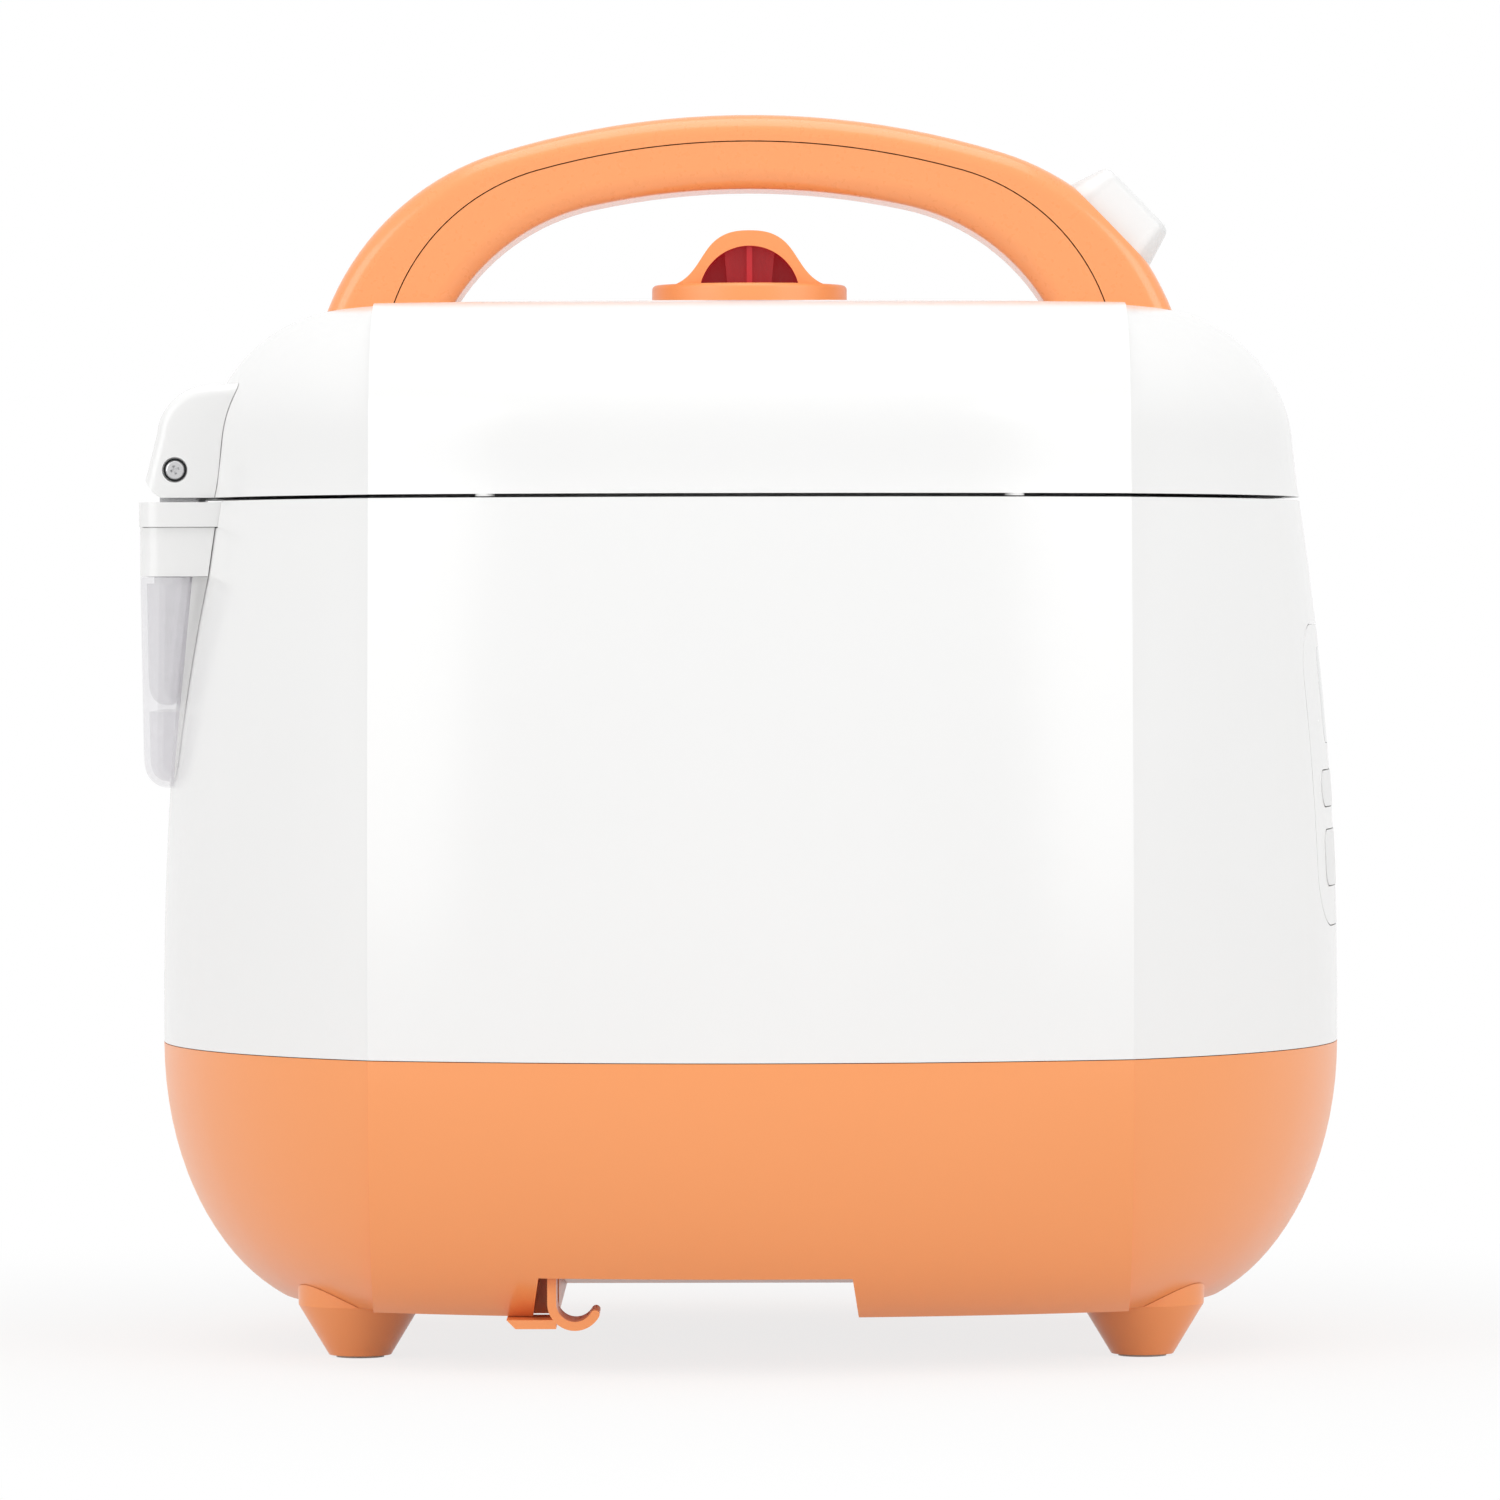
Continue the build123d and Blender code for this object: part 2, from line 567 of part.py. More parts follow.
def top_rim():
    edge = RIM_LEAN + WALL + FIT
    rim = sheet(edge, RIM_FLOOR_Z, RIM_TOP_Z)
    rear = box(LEDGE_X, HINGE_X + 18, -LEDGE_HALF_Y, LEDGE_HALF_Y, LEDGE_LOW_Z, RIM_TOP_Z)
    rear = rounded_rear(rear, LEDGE_CORNER)
    hollow = sheet(edge + RIM_SKIN, RIM_FLOOR_Z - 1, RIM_TOP_Z - RIM_SKIN)
    hollow -= rod(POT_FLANGE_RADIUS + RIM_SKIN + 1, 0, FAR)
    hollow -= box(-0.4 * CASE_HALF_X, 0.4 * CASE_HALF_X, -FAR, FAR, 0, FAR)
    rim = rim - hollow + rear
    rim -= rod(POT_RADIUS + 2, 0, FAR)
    rim -= rod(POT_FLANGE_RADIUS + 0.8, POT_SEAT_Z, FAR)
    reach = LATCH_ARM_X + LATCH_ARM + BUTTON_TRAVEL
    slot = LATCH_WIDTH / 2 + 2
    rim -= box(KEEPER_X - 1, reach, -slot, slot, RIM_FLOOR_Z, FAR)
    rim -= box(HINGE_X - DRAIN_REAR, HINGE_X + DRAIN_FRONT, -DRAIN_HALF_Y, DRAIN_HALF_Y, 0, FAR)
    for side in (-1, 1):
        y = side * LUG_MID_Y
        half = BRACKET_HALF_Y + FIT
        reach = BRACKET_HALF_X + FIT
        rim -= box(HINGE_X - reach, HINGE_X + reach, y - half, y + half,
                   RIM_TOP_Z - BRACKET_PLATE - TOUCH, FAR)
    return rim


def latch_keeper():
    high = RIM_TOP_Z - RIM_SKIN - TOUCH
    half = KEEPER_LENGTH / 2
    return box(KEEPER_X - KEEPER_DEPTH, KEEPER_X, -half, half, high - KEEPER_HEIGHT, high)


def inner_can():
    floor_top = CAN_FLOOR_Z + CAN_SHEET
    can = ring(CAN_RADIUS + CAN_SHEET, CAN_RADIUS, CAN_FLOOR_Z, RIM_FLOOR_Z)
    can += ring(CAN_FLANGE_RADIUS, CAN_RADIUS, RIM_FLOOR_Z - CAN_SHEET, RIM_FLOOR_Z)
    can += rod(CAN_RADIUS + CAN_SHEET, CAN_FLOOR_Z, floor_top)
    for x, y in base_posts():
        can -= rod(BASE_SCREW_SHANK + FIT, 0, floor_top + 1, x, y)
    return can


def inner_pot():
    low = POT_BOTTOM_Z
    bend = POT_CORNER * (1 - math.sqrt(0.5))
    radius = POT_RADIUS
    flat = radius - POT_CORNER
    inside = radius - POT_WALL
    thick = POT_WALL
    top = POT_SEAT_Z + POT_FLANGE
    outer = ThreePointArc((flat, 0, low), (radius - bend, 0, low + bend), (radius, 0, low + POT_CORNER))
    inner_bend = (POT_CORNER - thick) * (1 - math.sqrt(0.5))
    inner = ThreePointArc((inside, 0, low + POT_CORNER), (inside - inner_bend, 0, low + thick + inner_bend),
                          (flat, 0, low + thick))
    rim = Polyline((radius, 0, low + POT_CORNER), (radius, 0, POT_SEAT_Z), (POT_FLANGE_RADIUS, 0, POT_SEAT_Z),
                   (POT_FLANGE_RADIUS, 0, top), (inside, 0, top), (inside, 0, low + POT_CORNER))
    middle = Polyline((flat, 0, low + thick), (0, 0, low + thick), (0, 0, low), (flat, 0, low))
    return revolve(make_face([outer, rim, inner, middle]), axis=Axis.Z)


def heating_plate():
    top = POT_BOTTOM_Z - TOUCH
    low = top - HEATER_THICK
    plate = rod(HEATER_RADIUS, low, top)
    plate += Pos(0, 0, low) * Torus(ELEMENT_RING, ELEMENT_RADIUS)
    for turn in (90, 210, 330):
        x = HEATER_LEG_RING * math.cos(math.radians(turn))
        y = HEATER_LEG_RING * math.sin(math.radians(turn))
        plate += rod(HEATER_LEG_RADIUS, CAN_FLOOR_Z + CAN_SHEET, low + 1, x, y)
    return plate - rod(SENSOR_RADIUS + 1.5, 0, FAR)


def temperature_sensor():
    top = POT_BOTTOM_Z - TOUCH
    cup = rod(SENSOR_RADIUS, top - SENSOR_HEIGHT, top)
    return cup - rod(SENSOR_RADIUS - SENSOR_WALL, 0, top - 2 * SENSOR_WALL)


def sensor_spring():
    low = CAN_FLOOR_Z + CAN_SHEET + SENSOR_WIRE + TOUCH
    high = POT_BOTTOM_Z - 2 * TOUCH - 2 * SENSOR_WALL - SENSOR_WIRE
    return Pos(0, 0, low) * coil("sensor_spring", SENSOR_COIL, SENSOR_WIRE, high - low, SENSOR_TURNS)


def side_heater():
    inside = CAN_RADIUS + CAN_SHEET + TOUCH
    return ring(inside + BAND_THICK, inside, BAND_LOW_Z, BAND_HIGH_Z)


def thermal_fuse():
    z = CAN_FLOOR_Z - TOUCH - FUSE_RADIUS
    fuse = cross_rod(FUSE_RADIUS, FUSE_X, z, -12, 12)
    return fuse + cross_rod(0.6, FUSE_X, z, -17, 17)


def power_board():
    top = POWER_BOARD_Z + TOUCH + BOARD
    high = top + TALLEST_PART
    half = POWER_BOARD_X / 2
    near = POWER_BOARD_MID_Y - POWER_BOARD_Y / 2
    far = POWER_BOARD_MID_Y + POWER_BOARD_Y / 2
    board = box(-half, half, near, far, POWER_BOARD_Z + TOUCH, top)
    board += box(-36, -10, 16, 40, top, high)
    board += box(0, 20, 22, 38, top, high - 2)
    board += box(-34, 8, -8, 0, top, high - 1)
    board += rod(7, top, high, 34, 4)
    return board


# Control panel
def front_window(y, z, width, height, corner, grow):
    sketch = RectangleRounded(width + 2 * grow, height + 2 * grow, corner + grow)
    return extrude(Plane.YZ.offset(PANEL_HALF) * Pos(y, z) * sketch, amount=CASE_HALF_X)


def front_skin(proud, depth):
    # A layer of the front wall from proud outside its face to depth inside it
    return end_solid(lean, WALL_LEVELS, proud) - end_solid(lean, HOLLOW_LEVELS, -depth)


def key_window(name, grow):
    y, z, width, height = KEYS[name]
    return front_window(y, z, width, height, KEY_CORNER, grow)


def control_panel():
    back = WALL + TOUCH
    size = (0, CONTROL_Z, CONTROL_WIDTH, CONTROL_HEIGHT, CONTROL_CORNER)
    panel = front_skin(CONTROL_PROUD, back) & front_window(*size, 0)
    panel += front_skin(-back, back + CONTROL_FLANGE) & front_window(*size, 3)
    for y, z in four(CONTROL_BOARD_WIDTH / 2 - 8, CONTROL_BOARD_HEIGHT / 2 - 3):
        panel += long_rod(2.5, CONTROL_BOARD_X + BOARD, CASE_HALF_X - 9, y, CONTROL_Z + z)
    panel -= front_window(0, DISPLAY_Z, DISPLAY_WIDTH, DISPLAY_HEIGHT, DISPLAY_CORNER, TOUCH)
    for name in KEYS:
        panel -= key_window(name, FIT)
    return panel


def display_window():
    opening = front_window(0, DISPLAY_Z, DISPLAY_WIDTH, DISPLAY_HEIGHT, DISPLAY_CORNER, 0)
    return front_skin(CONTROL_PROUD, DISPLAY_THICK) & opening


def panel_key(name):
    return front_skin(KEY_PROUD, KEY_DEPTH) & key_window(name, 0)


def control_board():
    half_y = CONTROL_BOARD_WIDTH / 2
    half_z = CONTROL_BOARD_HEIGHT / 2
    front = CONTROL_BOARD_X + BOARD - TOUCH
    board = box(front - BOARD, front, -half_y, half_y, CONTROL_Z - half_z, CONTROL_Z + half_z)
    board += box(front, front + 5, -20, 20, DISPLAY_Z - 10, DISPLAY_Z + 10)
    for y, z, width, height in KEYS.values():
        board += box(front, front + SWITCH_REACH, y - 3, y + 3, z - 3, z + 3)
    return board


# Hinge
def hinge_bracket(side):
    y = side * LUG_MID_Y
    half = LUG_WIDTH / 2
    top = RIM_TOP_Z
    reach = BRACKET_HALF_Y
    bracket = box(HINGE_X - BRACKET_HALF_X, HINGE_X + BRACKET_HALF_X, y - reach, y + reach,
                  top - BRACKET_PLATE, top)
    bracket += box(HINGE_X - LUG_RADIUS, HINGE_X + LUG_RADIUS, y - half, y + half, top - 1, HINGE_Z)
    bracket += cross_rod(LUG_RADIUS, HINGE_X, HINGE_Z, y - half, y + half)
    return bracket - cross_rod(HINGE_PIN_RADIUS + SLIP, HINGE_X, HINGE_Z, y - half - 1, y + half + 1)


def hinge_pin():
    half = COVER_HALF_Y - HINGE_SCREW_SINK - 2
    pin = cross_rod(HINGE_PIN_RADIUS, HINGE_X, HINGE_Z, -half, half)
    for side in (-1, 1):
        end = side * half
        pin -= cross_rod(HINGE_SCREW_SHANK + SLIP, HINGE_X, HINGE_Z, end - 10, end + 10)
    return pin


def hinge_screws():
    seat = COVER_HALF_Y - HINGE_SCREW_SINK
    one = screw(HINGE_SCREW_HEAD, 1.6, HINGE_SCREW_SHANK, 10)
    near = Pos(HINGE_X, -seat, HINGE_Z) * Rot(90, 0, 0) * one
    far = Pos(HINGE_X, seat, HINGE_Z) * Rot(-90, 0, 0) * one
    return Compound([near, far])


def hinge_spring(side):
    inner = LUG_MID_Y - LUG_WIDTH / 2 - HINGE_WIRE - FIT
    length = inner - HINGE_SPRING_Y
    wound = Rot(90, 0, 0) * coil("hinge_spring", HINGE_COIL, HINGE_WIRE, length, HINGE_TURNS)
    y = -HINGE_SPRING_Y if side < 0 else inner
    return Pos(HINGE_X, y, HINGE_Z) * wound


def cover_outline(low_z, front_x):
    corner = math.sqrt(0.5) * COVER_SWEEP
    rear_x = HINGE_X - COVER_REAR
    bends = (COVER_CREST, COVER_SHOULDER, COVER_BACK)
    crest, shoulder, back = [(HINGE_X + x, 0, HINGE_Z + z) for x, z in bends]
    front_top = (front_x, 0, HINGE_Z + COVER_TOP)
    side_z = HINGE_Z - math.sqrt(COVER_SWEEP ** 2 - (HINGE_X - rear_x) ** 2)
    low_x = HINGE_X - math.sqrt(COVER_SWEEP ** 2 - (HINGE_Z - LID_Z) ** 2)
    top = Line(front_top, crest)
    bend = ThreePointArc(crest, shoulder, back)
    rear = Line(back, (rear_x, 0, side_z))
    sweep_arc = ThreePointArc((rear_x, 0, side_z), (HINGE_X - corner, 0, HINGE_Z - corner), (low_x, 0, LID_Z))
    foot_line = Polyline((low_x, 0, LID_Z), (front_x, 0, low_z), front_top)
    return [top, bend, rear, sweep_arc, foot_line]


def hinge_cover(lid_outer):
    front_x = HINGE_X + COVER_FRONT
    cover = profile(cover_outline(LID_Z, front_x), COVER_HALF_Y)
    rims = [edge for edge in cover.edges()
            if abs(abs(edge.center().Y) - COVER_HALF_Y) < 0.01
            and (edge.center().Z > LID_Z + 3 and edge.center().X < front_x - 1)]
    cover = fillet(rims, COVER_ROUND)
    inner = offset(make_face(cover_outline(LID_Z, front_x)), -COVER_WALL)
    cavity = extrude(inner, amount=COVER_HALF_Y - COVER_WALL, dir=(0, 1, 0), both=True)
    half = COVER_HALF_Y - COVER_WALL
    cavity += box(HINGE_X - 4.8, front_x, -half, half, LID_Z - 1, HINGE_Z)
    cover -= cavity
    for side in (-1, 1):
        wall_y = side * COVER_HALF_Y
        boss_y = side * (COVER_HALF_Y - COVER_BOSS)
        pin_y = side * (COVER_HALF_Y - HINGE_SCREW_SINK - 2)
        low, high = sorted((boss_y, wall_y - side))
        cover += cross_rod(LUG_RADIUS, HINGE_X, HINGE_Z, low, high)
        low, high = sorted((boss_y - side, pin_y))
        cover -= cross_rod(HINGE_PIN_RADIUS + SLIP, HINGE_X, HINGE_Z, low, high)
        low, high = sorted((wall_y - side * HINGE_SCREW_SINK, wall_y + side))
        cover -= cross_rod(HINGE_SCREW_HEAD + FIT, HINGE_X, HINGE_Z, low, high)
        low, high = sorted((boss_y, wall_y))
        cover -= cross_rod(HINGE_SCREW_SHANK + FIT, HINGE_X, HINGE_Z, low, high)
        lug_y = side * LUG_MID_Y
        half = LUG_WIDTH / 2 + 1
        cover -= box(-FAR, HINGE_X, lug_y - half, lug_y + half, 0, HINGE_Z + LUG_RADIUS + 1)
    return cover - lid_outer


# Drip cup
def rounded_rear(block, radius):
    return fillet(block.edges().filter_by(Axis.Z).group_by(Axis.X)[0], radius)


def rear_end(grow):
    return mirror(end_solid(lean, WALL_LEVELS, grow), about=Plane.YZ)


def cup_block(inset, z_low, z_high, corner):
    high = CUP_HALF_Y - inset
    low = CUP_LOW_HALF_Y - inset
    slope = (high - low) / (CUP_TOP_Z - CUP_LOW_Z)
    low_y = low + slope * (z_low - CUP_LOW_Z)
    high_y = low + slope * (z_high - CUP_LOW_Z)
    points = ((-high_y, z_high), (high_y, z_high), (low_y, z_low), (-low_y, z_low))
    sketch = make_face(Polyline(*[(CUP_X + inset, y, z) for y, z in points], close=True))
    block = extrude(sketch, amount=CUP_DEPTH, dir=(1, 0, 0))
    block = fillet(block.edges().filter_by(Axis.X).group_by(Axis.Z)[0], corner)
    rear = block.faces().sort_by(Axis.X)[0]
    rims = [edge for edge in rear.edges() if edge.center().Z < z_high - 0.01]
    return fillet(rims, CUP_ROUND - inset)


def drip_cup():
    cup = cup_block(0, CUP_LOW_Z, CUP_TOP_Z, CUP_CORNER) - rear_end(FIT)
    shelf_z = CUP_TOP_Z - CUP_WALL
    bowl = cup_block(CUP_WALL, CUP_FLOOR_Z, shelf_z, CUP_CORNER - CUP_WALL)
    cup -= bowl - rear_end(FIT + CUP_WALL)
    side = CUP_HALF_Y - COLLAR_WALL - FIT
    rear = CUP_X + COLLAR_WALL + FIT
    front = CUP_X + CUP_DEPTH
    high = CUP_TOP_Z + CUP_NECK
    inner = 2 * FIT + COLLAR_WALL
    corner = CUP_ROUND - COLLAR_WALL - FIT
    cup += rounded_rear(box(rear, front, -side, side, shelf_z, high), corner) - rear_end(inner)
    mouth = box(rear + CUP_WALL, front, CUP_WALL - side, side - CUP_WALL, shelf_z - 1, high + 1)
    cup -= rounded_rear(mouth, corner - CUP_WALL) - rear_end(FIT + CUP_WALL)
    under = cup_block(CUP_WALL, CUP_LOW_Z + CUP_WALL, CUP_FLOOR_Z - CUP_WALL, CUP_CORNER - CUP_WALL)
    return cup - under


def drip_collar():
    low = CUP_TOP_Z + TOUCH
    high = LEDGE_LOW_Z - TOUCH
    collar = box(CUP_X, CUP_X + CUP_DEPTH, -CUP_HALF_Y, CUP_HALF_Y, low, high)
    collar = rounded_rear(collar, CUP_ROUND) - rear_end(FIT)
    half = CUP_HALF_Y - COLLAR_WALL
    hole = box(CUP_X + COLLAR_WALL, CUP_X + CUP_DEPTH, -half, half, low - 1, high + 1)
    collar -= rounded_rear(hole, CUP_ROUND - COLLAR_WALL) - rear_end(FIT + COLLAR_WALL)
    for side in (-1, 1):
        y = side * TAB_Y
        half = TAB_WIDTH / 2
        tab = box(CUP_X, TAB_TIP_X, y - half, y + half, TAB_LOW_Z, TAB_HIGH_Z)
        collar += tab & rear_end(FIT + COLLAR_WALL / 2)
    return collar


# Lid
def liner_bosses():
    return four(LINER_BOSS_X, LINER_BOSS_Y)


def lid_cover(lid_outer):
    cover = lid_outer - Pos(0, 0, -LID_WALL) * casing(lid_inset, LID_LEVELS, -LID_WALL)
    for x, y in liner_bosses():
        cover += rod(LINER_BOSS, LINER_TOP_Z + TOUCH, LID_TOP_Z, x, y) & lid_outer
        cover -= rod(LINER_SCREW_SHANK + SLIP, 0, LINER_TOP_Z + 14, x, y)
    cover -= rod(VENT_RADIUS + VENT_WALL + FIT, LINER_TOP_Z, FAR)
    for x, y in four(HANDLE_SCREW_X, HANDLE_SCREW_Y):
        cover -= rod(HANDLE_SCREW_SHANK + FIT, LINER_TOP_Z, FAR, x, y)
    half = LATCH_WIDTH / 2 + 1
    tail_x = latch_tail()[0]
    return cover - box(tail_x + 2, LATCH_X - 7, -half, half, LATCH_Z - LATCH_ARM, FAR)


def lid_liner():
    edge = lid_inset(LINER_TOP_Z + LID_WALL) + LID_WALL + FIT
    liner = sheet(edge, LINER_LOW_Z, LINER_TOP_Z)
    liner += rod(LINER_STEP_RADIUS, LINER_STEP_Z, LINER_LOW_Z)
    liner -= rod(GROMMET_RADIUS + TOUCH, 0, FAR)
    half = LATCH_WIDTH / 2
    reach = LATCH_ARM_X + LATCH_ARM + BUTTON_TRAVEL
    liner -= box(KEEPER_X - 3, reach, -half - 2, half + 2, 0, FAR)
    for side in (-1, 1):
        low, high = sorted((side * (half + FIT), side * (half + FIT + LATCH_EAR)))
        liner += box(LATCH_X - 5, LATCH_X + 5, low, high, LINER_LOW_Z, LATCH_Z + 5)
    liner -= cross_rod(LATCH_PIN_RADIUS + SLIP, LATCH_X, LATCH_Z, -FAR, FAR)
    for x, y in liner_bosses():
        liner -= rod(LINER_SCREW_SHANK + FIT, 0, FAR, x, y)
        liner -= rod(LINER_SCREW_HEAD + FIT, 0, LINER_LOW_Z + 1.2, x, y)
    return liner


def liner_screws():
    one = Rot(180, 0, 0) * screw(LINER_SCREW_HEAD, 1.1, LINER_SCREW_SHANK, 12)
    return Compound([Pos(x, y, LINER_LOW_Z + 1.2) * one for x, y in liner_bosses()])


def lid_bumpers():
    y = panel_y(RIM_LEAN, BUMPER_X) - BUMPER_RADIUS
    return Compound([rod(BUMPER_RADIUS, RIM_Z + FIT, LID_Z, px, py) for px, py in four(BUMPER_X, y)])


def inner_lid():
    high = PLATE_LOW_Z + PLATE_THICK
    plate = rod(PLATE_RADIUS, PLATE_LOW_Z, high) - rod(GROMMET_BORE - 1, 0, FAR)
    groove = ring(PLATE_GROOVE + 3, PLATE_GROOVE, 0, PLATE_LOW_Z + 0.8)
    return plate - groove


def lid_gasket():
    low = POT_SEAT_Z + POT_FLANGE + FIT
    inner = PLATE_RADIUS + TOUCH
    gasket = ring(GASKET_RADIUS, inner, low, PLATE_LOW_Z + PLATE_THICK)
    return gasket + ring(inner + 1, GASKET_LIP_RADIUS, low, PLATE_LOW_Z - TOUCH)


# Steam vent
def valve_body():
    outer = VENT_RADIUS + VENT_WALL
    tube = ring(outer, VENT_RADIUS, LINER_TOP_Z + TOUCH, LID_TOP_Z - FIT)
    tube += rod(VENT_RADIUS + 1, VENT_SEAT_Z, VENT_SEAT_Z + VENT_SEAT)
    return tube - rod(VENT_HOLE, 0, FAR)


def valve_grommet():
    return ring(GROMMET_RADIUS, GROMMET_BORE, PLATE_LOW_Z + PLATE_THICK + TOUCH, LINER_TOP_Z + 1)


def relief_weight():
    seat = VENT_SEAT_Z + VENT_SEAT + FIT
    weight = rod(WEIGHT_RADIUS, seat, seat + WEIGHT_HEIGHT)
    weight = fillet(weight.edges().group_by(Axis.Z)[-1], 2)
    return weight + rod(VENT_HOLE - FIT, VENT_SEAT_Z, seat)


def hood(half_x, top_z, low_z, half_y):
    # Bell shaped section, drawn out to half_y each side
    rise = top_z - low_z
    right = [(1.0, 0.0), (0.83, 0.12), (0.64, 0.45), (0.46, 0.79), (0.28, 0.945)]
    left = [(-x, z) for x, z in right]
    points = left + [(0.0, 1.0)] + right[::-1]
    curve = Spline(*[(x * half_x, 0, low_z + z * rise) for x, z in points])
    return profile([curve, Line((half_x, 0, low_z), (-half_x, 0, low_z))], half_y)


def steam_cap():
    flange_low = LID_TOP_Z + FIT
    cap = rod(CAP_FLANGE_RADIUS, flange_low, CAP_FLANGE_Z)
    cap = fillet(cap.edges().group_by(Axis.Z)[-1], 1.2)
    cap += hood(CAP_HALF_X, CAP_TOP_Z, CAP_FLANGE_Z - 0.3, CAP_HALF_Y) & rod(CAP_FLANGE_RADIUS - 1, 0, FAR)
    arch = [
        ThreePointArc((-CAP_ARCH_HALF_X, 0, CAP_FLANGE_Z), (0, 0, CAP_ARCH_TOP_Z),
                      (CAP_ARCH_HALF_X, 0, CAP_FLANGE_Z)),
        Line((CAP_ARCH_HALF_X, 0, CAP_FLANGE_Z), (-CAP_ARCH_HALF_X, 0, CAP_FLANGE_Z)),
    ]
    webs = box(-CAP_WEB / 2, CAP_WEB / 2, 2 - CAP_HALF_Y, CAP_HALF_Y - 2, CAP_FLANGE_Z, FAR)
    webs += profile(closed((
        (-CAP_CORE_TOP, CAP_TOP_Z),
        (CAP_CORE_TOP, CAP_TOP_Z),
        (CAP_CORE_LOW, CAP_FLANGE_Z - 1),
        (-CAP_CORE_LOW, CAP_FLANGE_Z - 1),
    )), CAP_HALF_Y - CAP_CORE_SINK)
    webs += box(-FAR, FAR, -CAP_WEB, CAP_WEB, 0, FAR)
    cap -= profile(arch, FAR) - webs
    spigot_low = flange_low - CAP_SPIGOT
    cap += rod(CAP_SPIGOT_RADIUS, spigot_low, flange_low)
    cap -= rod(CAP_SPIGOT_RADIUS - 2, 0, flange_low + 2)
    for x, y in four(CAP_CORE_LOW + 0.9 + CAP_SLOT / 2, CAP_WEB + 1 + CAP_SLOT):
        cap -= box(x - CAP_SLOT / 2, x + CAP_SLOT / 2, y - CAP_SLOT, y + CAP_SLOT, 0, CAP_FLANGE_Z + 0.2)
    return cap


def cap_seal():
    middle = LID_TOP_Z + FIT - CAP_SPIGOT / 2
    return ring(VENT_RADIUS - TOUCH, CAP_SPIGOT_RADIUS + SLIP, middle - CAP_SEAL / 2, middle + CAP_SEAL / 2)


# Handle
def crown_radius(shape):
    top_z, half_angle, joint_x, side_radius = shape
    return joint_x / math.sin(math.radians(half_angle))


def shoulder_centre(shape):
    top_z, half_angle, joint_x, side_radius = shape
    turn = math.radians(half_angle)
    top_radius = crown_radius(shape)
    x = joint_x - side_radius * math.sin(turn)
    z = top_z - top_radius + (top_radius - side_radius) * math.cos(turn)
    return x, z, turn


def arch(shape, grow=0.0):
    # One edge of the handle as three tangent arcs, moved outward by grow
    top_z, half_angle, joint_x, side_radius = shape
    side_x, side_z, turn = shoulder_centre(shape)
    radius = side_radius + grow
    last = math.acos((HANDLE_FOOT_Z - side_z) / radius)
    turns = (turn, (turn + last) / 2, last)
    side = [(side_x + radius * math.sin(a), side_z + radius * math.cos(a)) for a in turns]
    right = ThreePointArc(*[(x, 0, z) for x, z in side])
    left = ThreePointArc(*[(-x, 0, z) for x, z in side])
    crown = ThreePointArc((-side[0][0], 0, side[0][1]), (0, 0, top_z + grow), (side[0][0], 0, side[0][1]))
    return [left, crown, right], side[2]


def handle_strip(outer, inner, outer_grow, inner_grow, half_y):
    over, over_foot = arch(outer, outer_grow)
    under, under_foot = arch(inner, inner_grow)
    ends = []
    for side in (-1, 1):
        ends.append(Line((side * over_foot[0], 0, over_foot[1]), (side * under_foot[0], 0, under_foot[1])))
    return profile(over + under + ends, half_y)


def long_edges(strip, shape):
    radii = (crown_radius(shape), shape[3])
    return [edge for edge in strip.edges().filter_by(GeomType.CIRCLE)
            if min(abs(edge.radius - radius) for radius in radii) < 0.01]


def handle_hollow():
    return handle_strip(HANDLE_OUTER, HANDLE_INNER, -HANDLE_WALL, HANDLE_WALL, HANDLE_HALF_Y - HANDLE_WALL)


def button_plane():
    centre_x, centre_z, turn = shoulder_centre(HANDLE_OUTER)
    tilt = math.radians(BUTTON_TILT)
    away = (math.sin(tilt), 0, math.cos(tilt))
    seat = (centre_x + BUTTON_SEAT * away[0], 0, centre_z + BUTTON_SEAT * away[2])
    return Plane(origin=seat, x_dir=(away[2], 0, -away[0]), z_dir=away)


def button_block(grow, depth, height):
    sketch = RectangleRounded(BUTTON_LENGTH + 2 * grow, BUTTON_WIDTH + 2 * grow, BUTTON_CORNER + grow)
    return button_plane() * Pos(0, 0, -depth) * extrude(sketch, amount=depth + height)


def handle_upper(lid_outer):
    strip = handle_strip(HANDLE_OUTER, HANDLE_SEAM, 0, TOUCH, HANDLE_HALF_Y)
    strip = fillet(long_edges(strip, HANDLE_OUTER), HANDLE_OUTER_ROUND)
    strip -= handle_hollow()
    strip -= button_plane() * Pos(0, 0, 15) * Box(BUTTON_LENGTH, 3 * HANDLE_HALF_Y, 30)
    strip -= button_block(FIT, BUTTON_SINK + BUTTON_TRAVEL, 5)
    return strip - lid_outer


def handle_lower(lid_outer):
    strip = handle_strip(HANDLE_SEAM, HANDLE_INNER, -TOUCH, 0, HANDLE_HALF_Y)
    strip = fillet(long_edges(strip, HANDLE_INNER), HANDLE_INNER_ROUND)
    strip -= handle_hollow()
    for x, y in four(HANDLE_SCREW_X, HANDLE_SCREW_Y):
        strip += rod(HANDLE_BOSS, HANDLE_FOOT_Z, LID_TOP_Z + 7, x, y)
        strip -= rod(HANDLE_SCREW_SHANK + SLIP, 0, LID_TOP_Z + 6, x, y)
    return strip - lid_outer


def handle_screws():
    seat_z = LID_TOP_Z - LID_WALL
    one = Rot(180, 0, 0) * screw(HANDLE_SCREW_HEAD, 2.2, HANDLE_SCREW_SHANK, 8)
    return Compound([Pos(x, y, seat_z) * one for x, y in four(HANDLE_SCREW_X, HANDLE_SCREW_Y)])


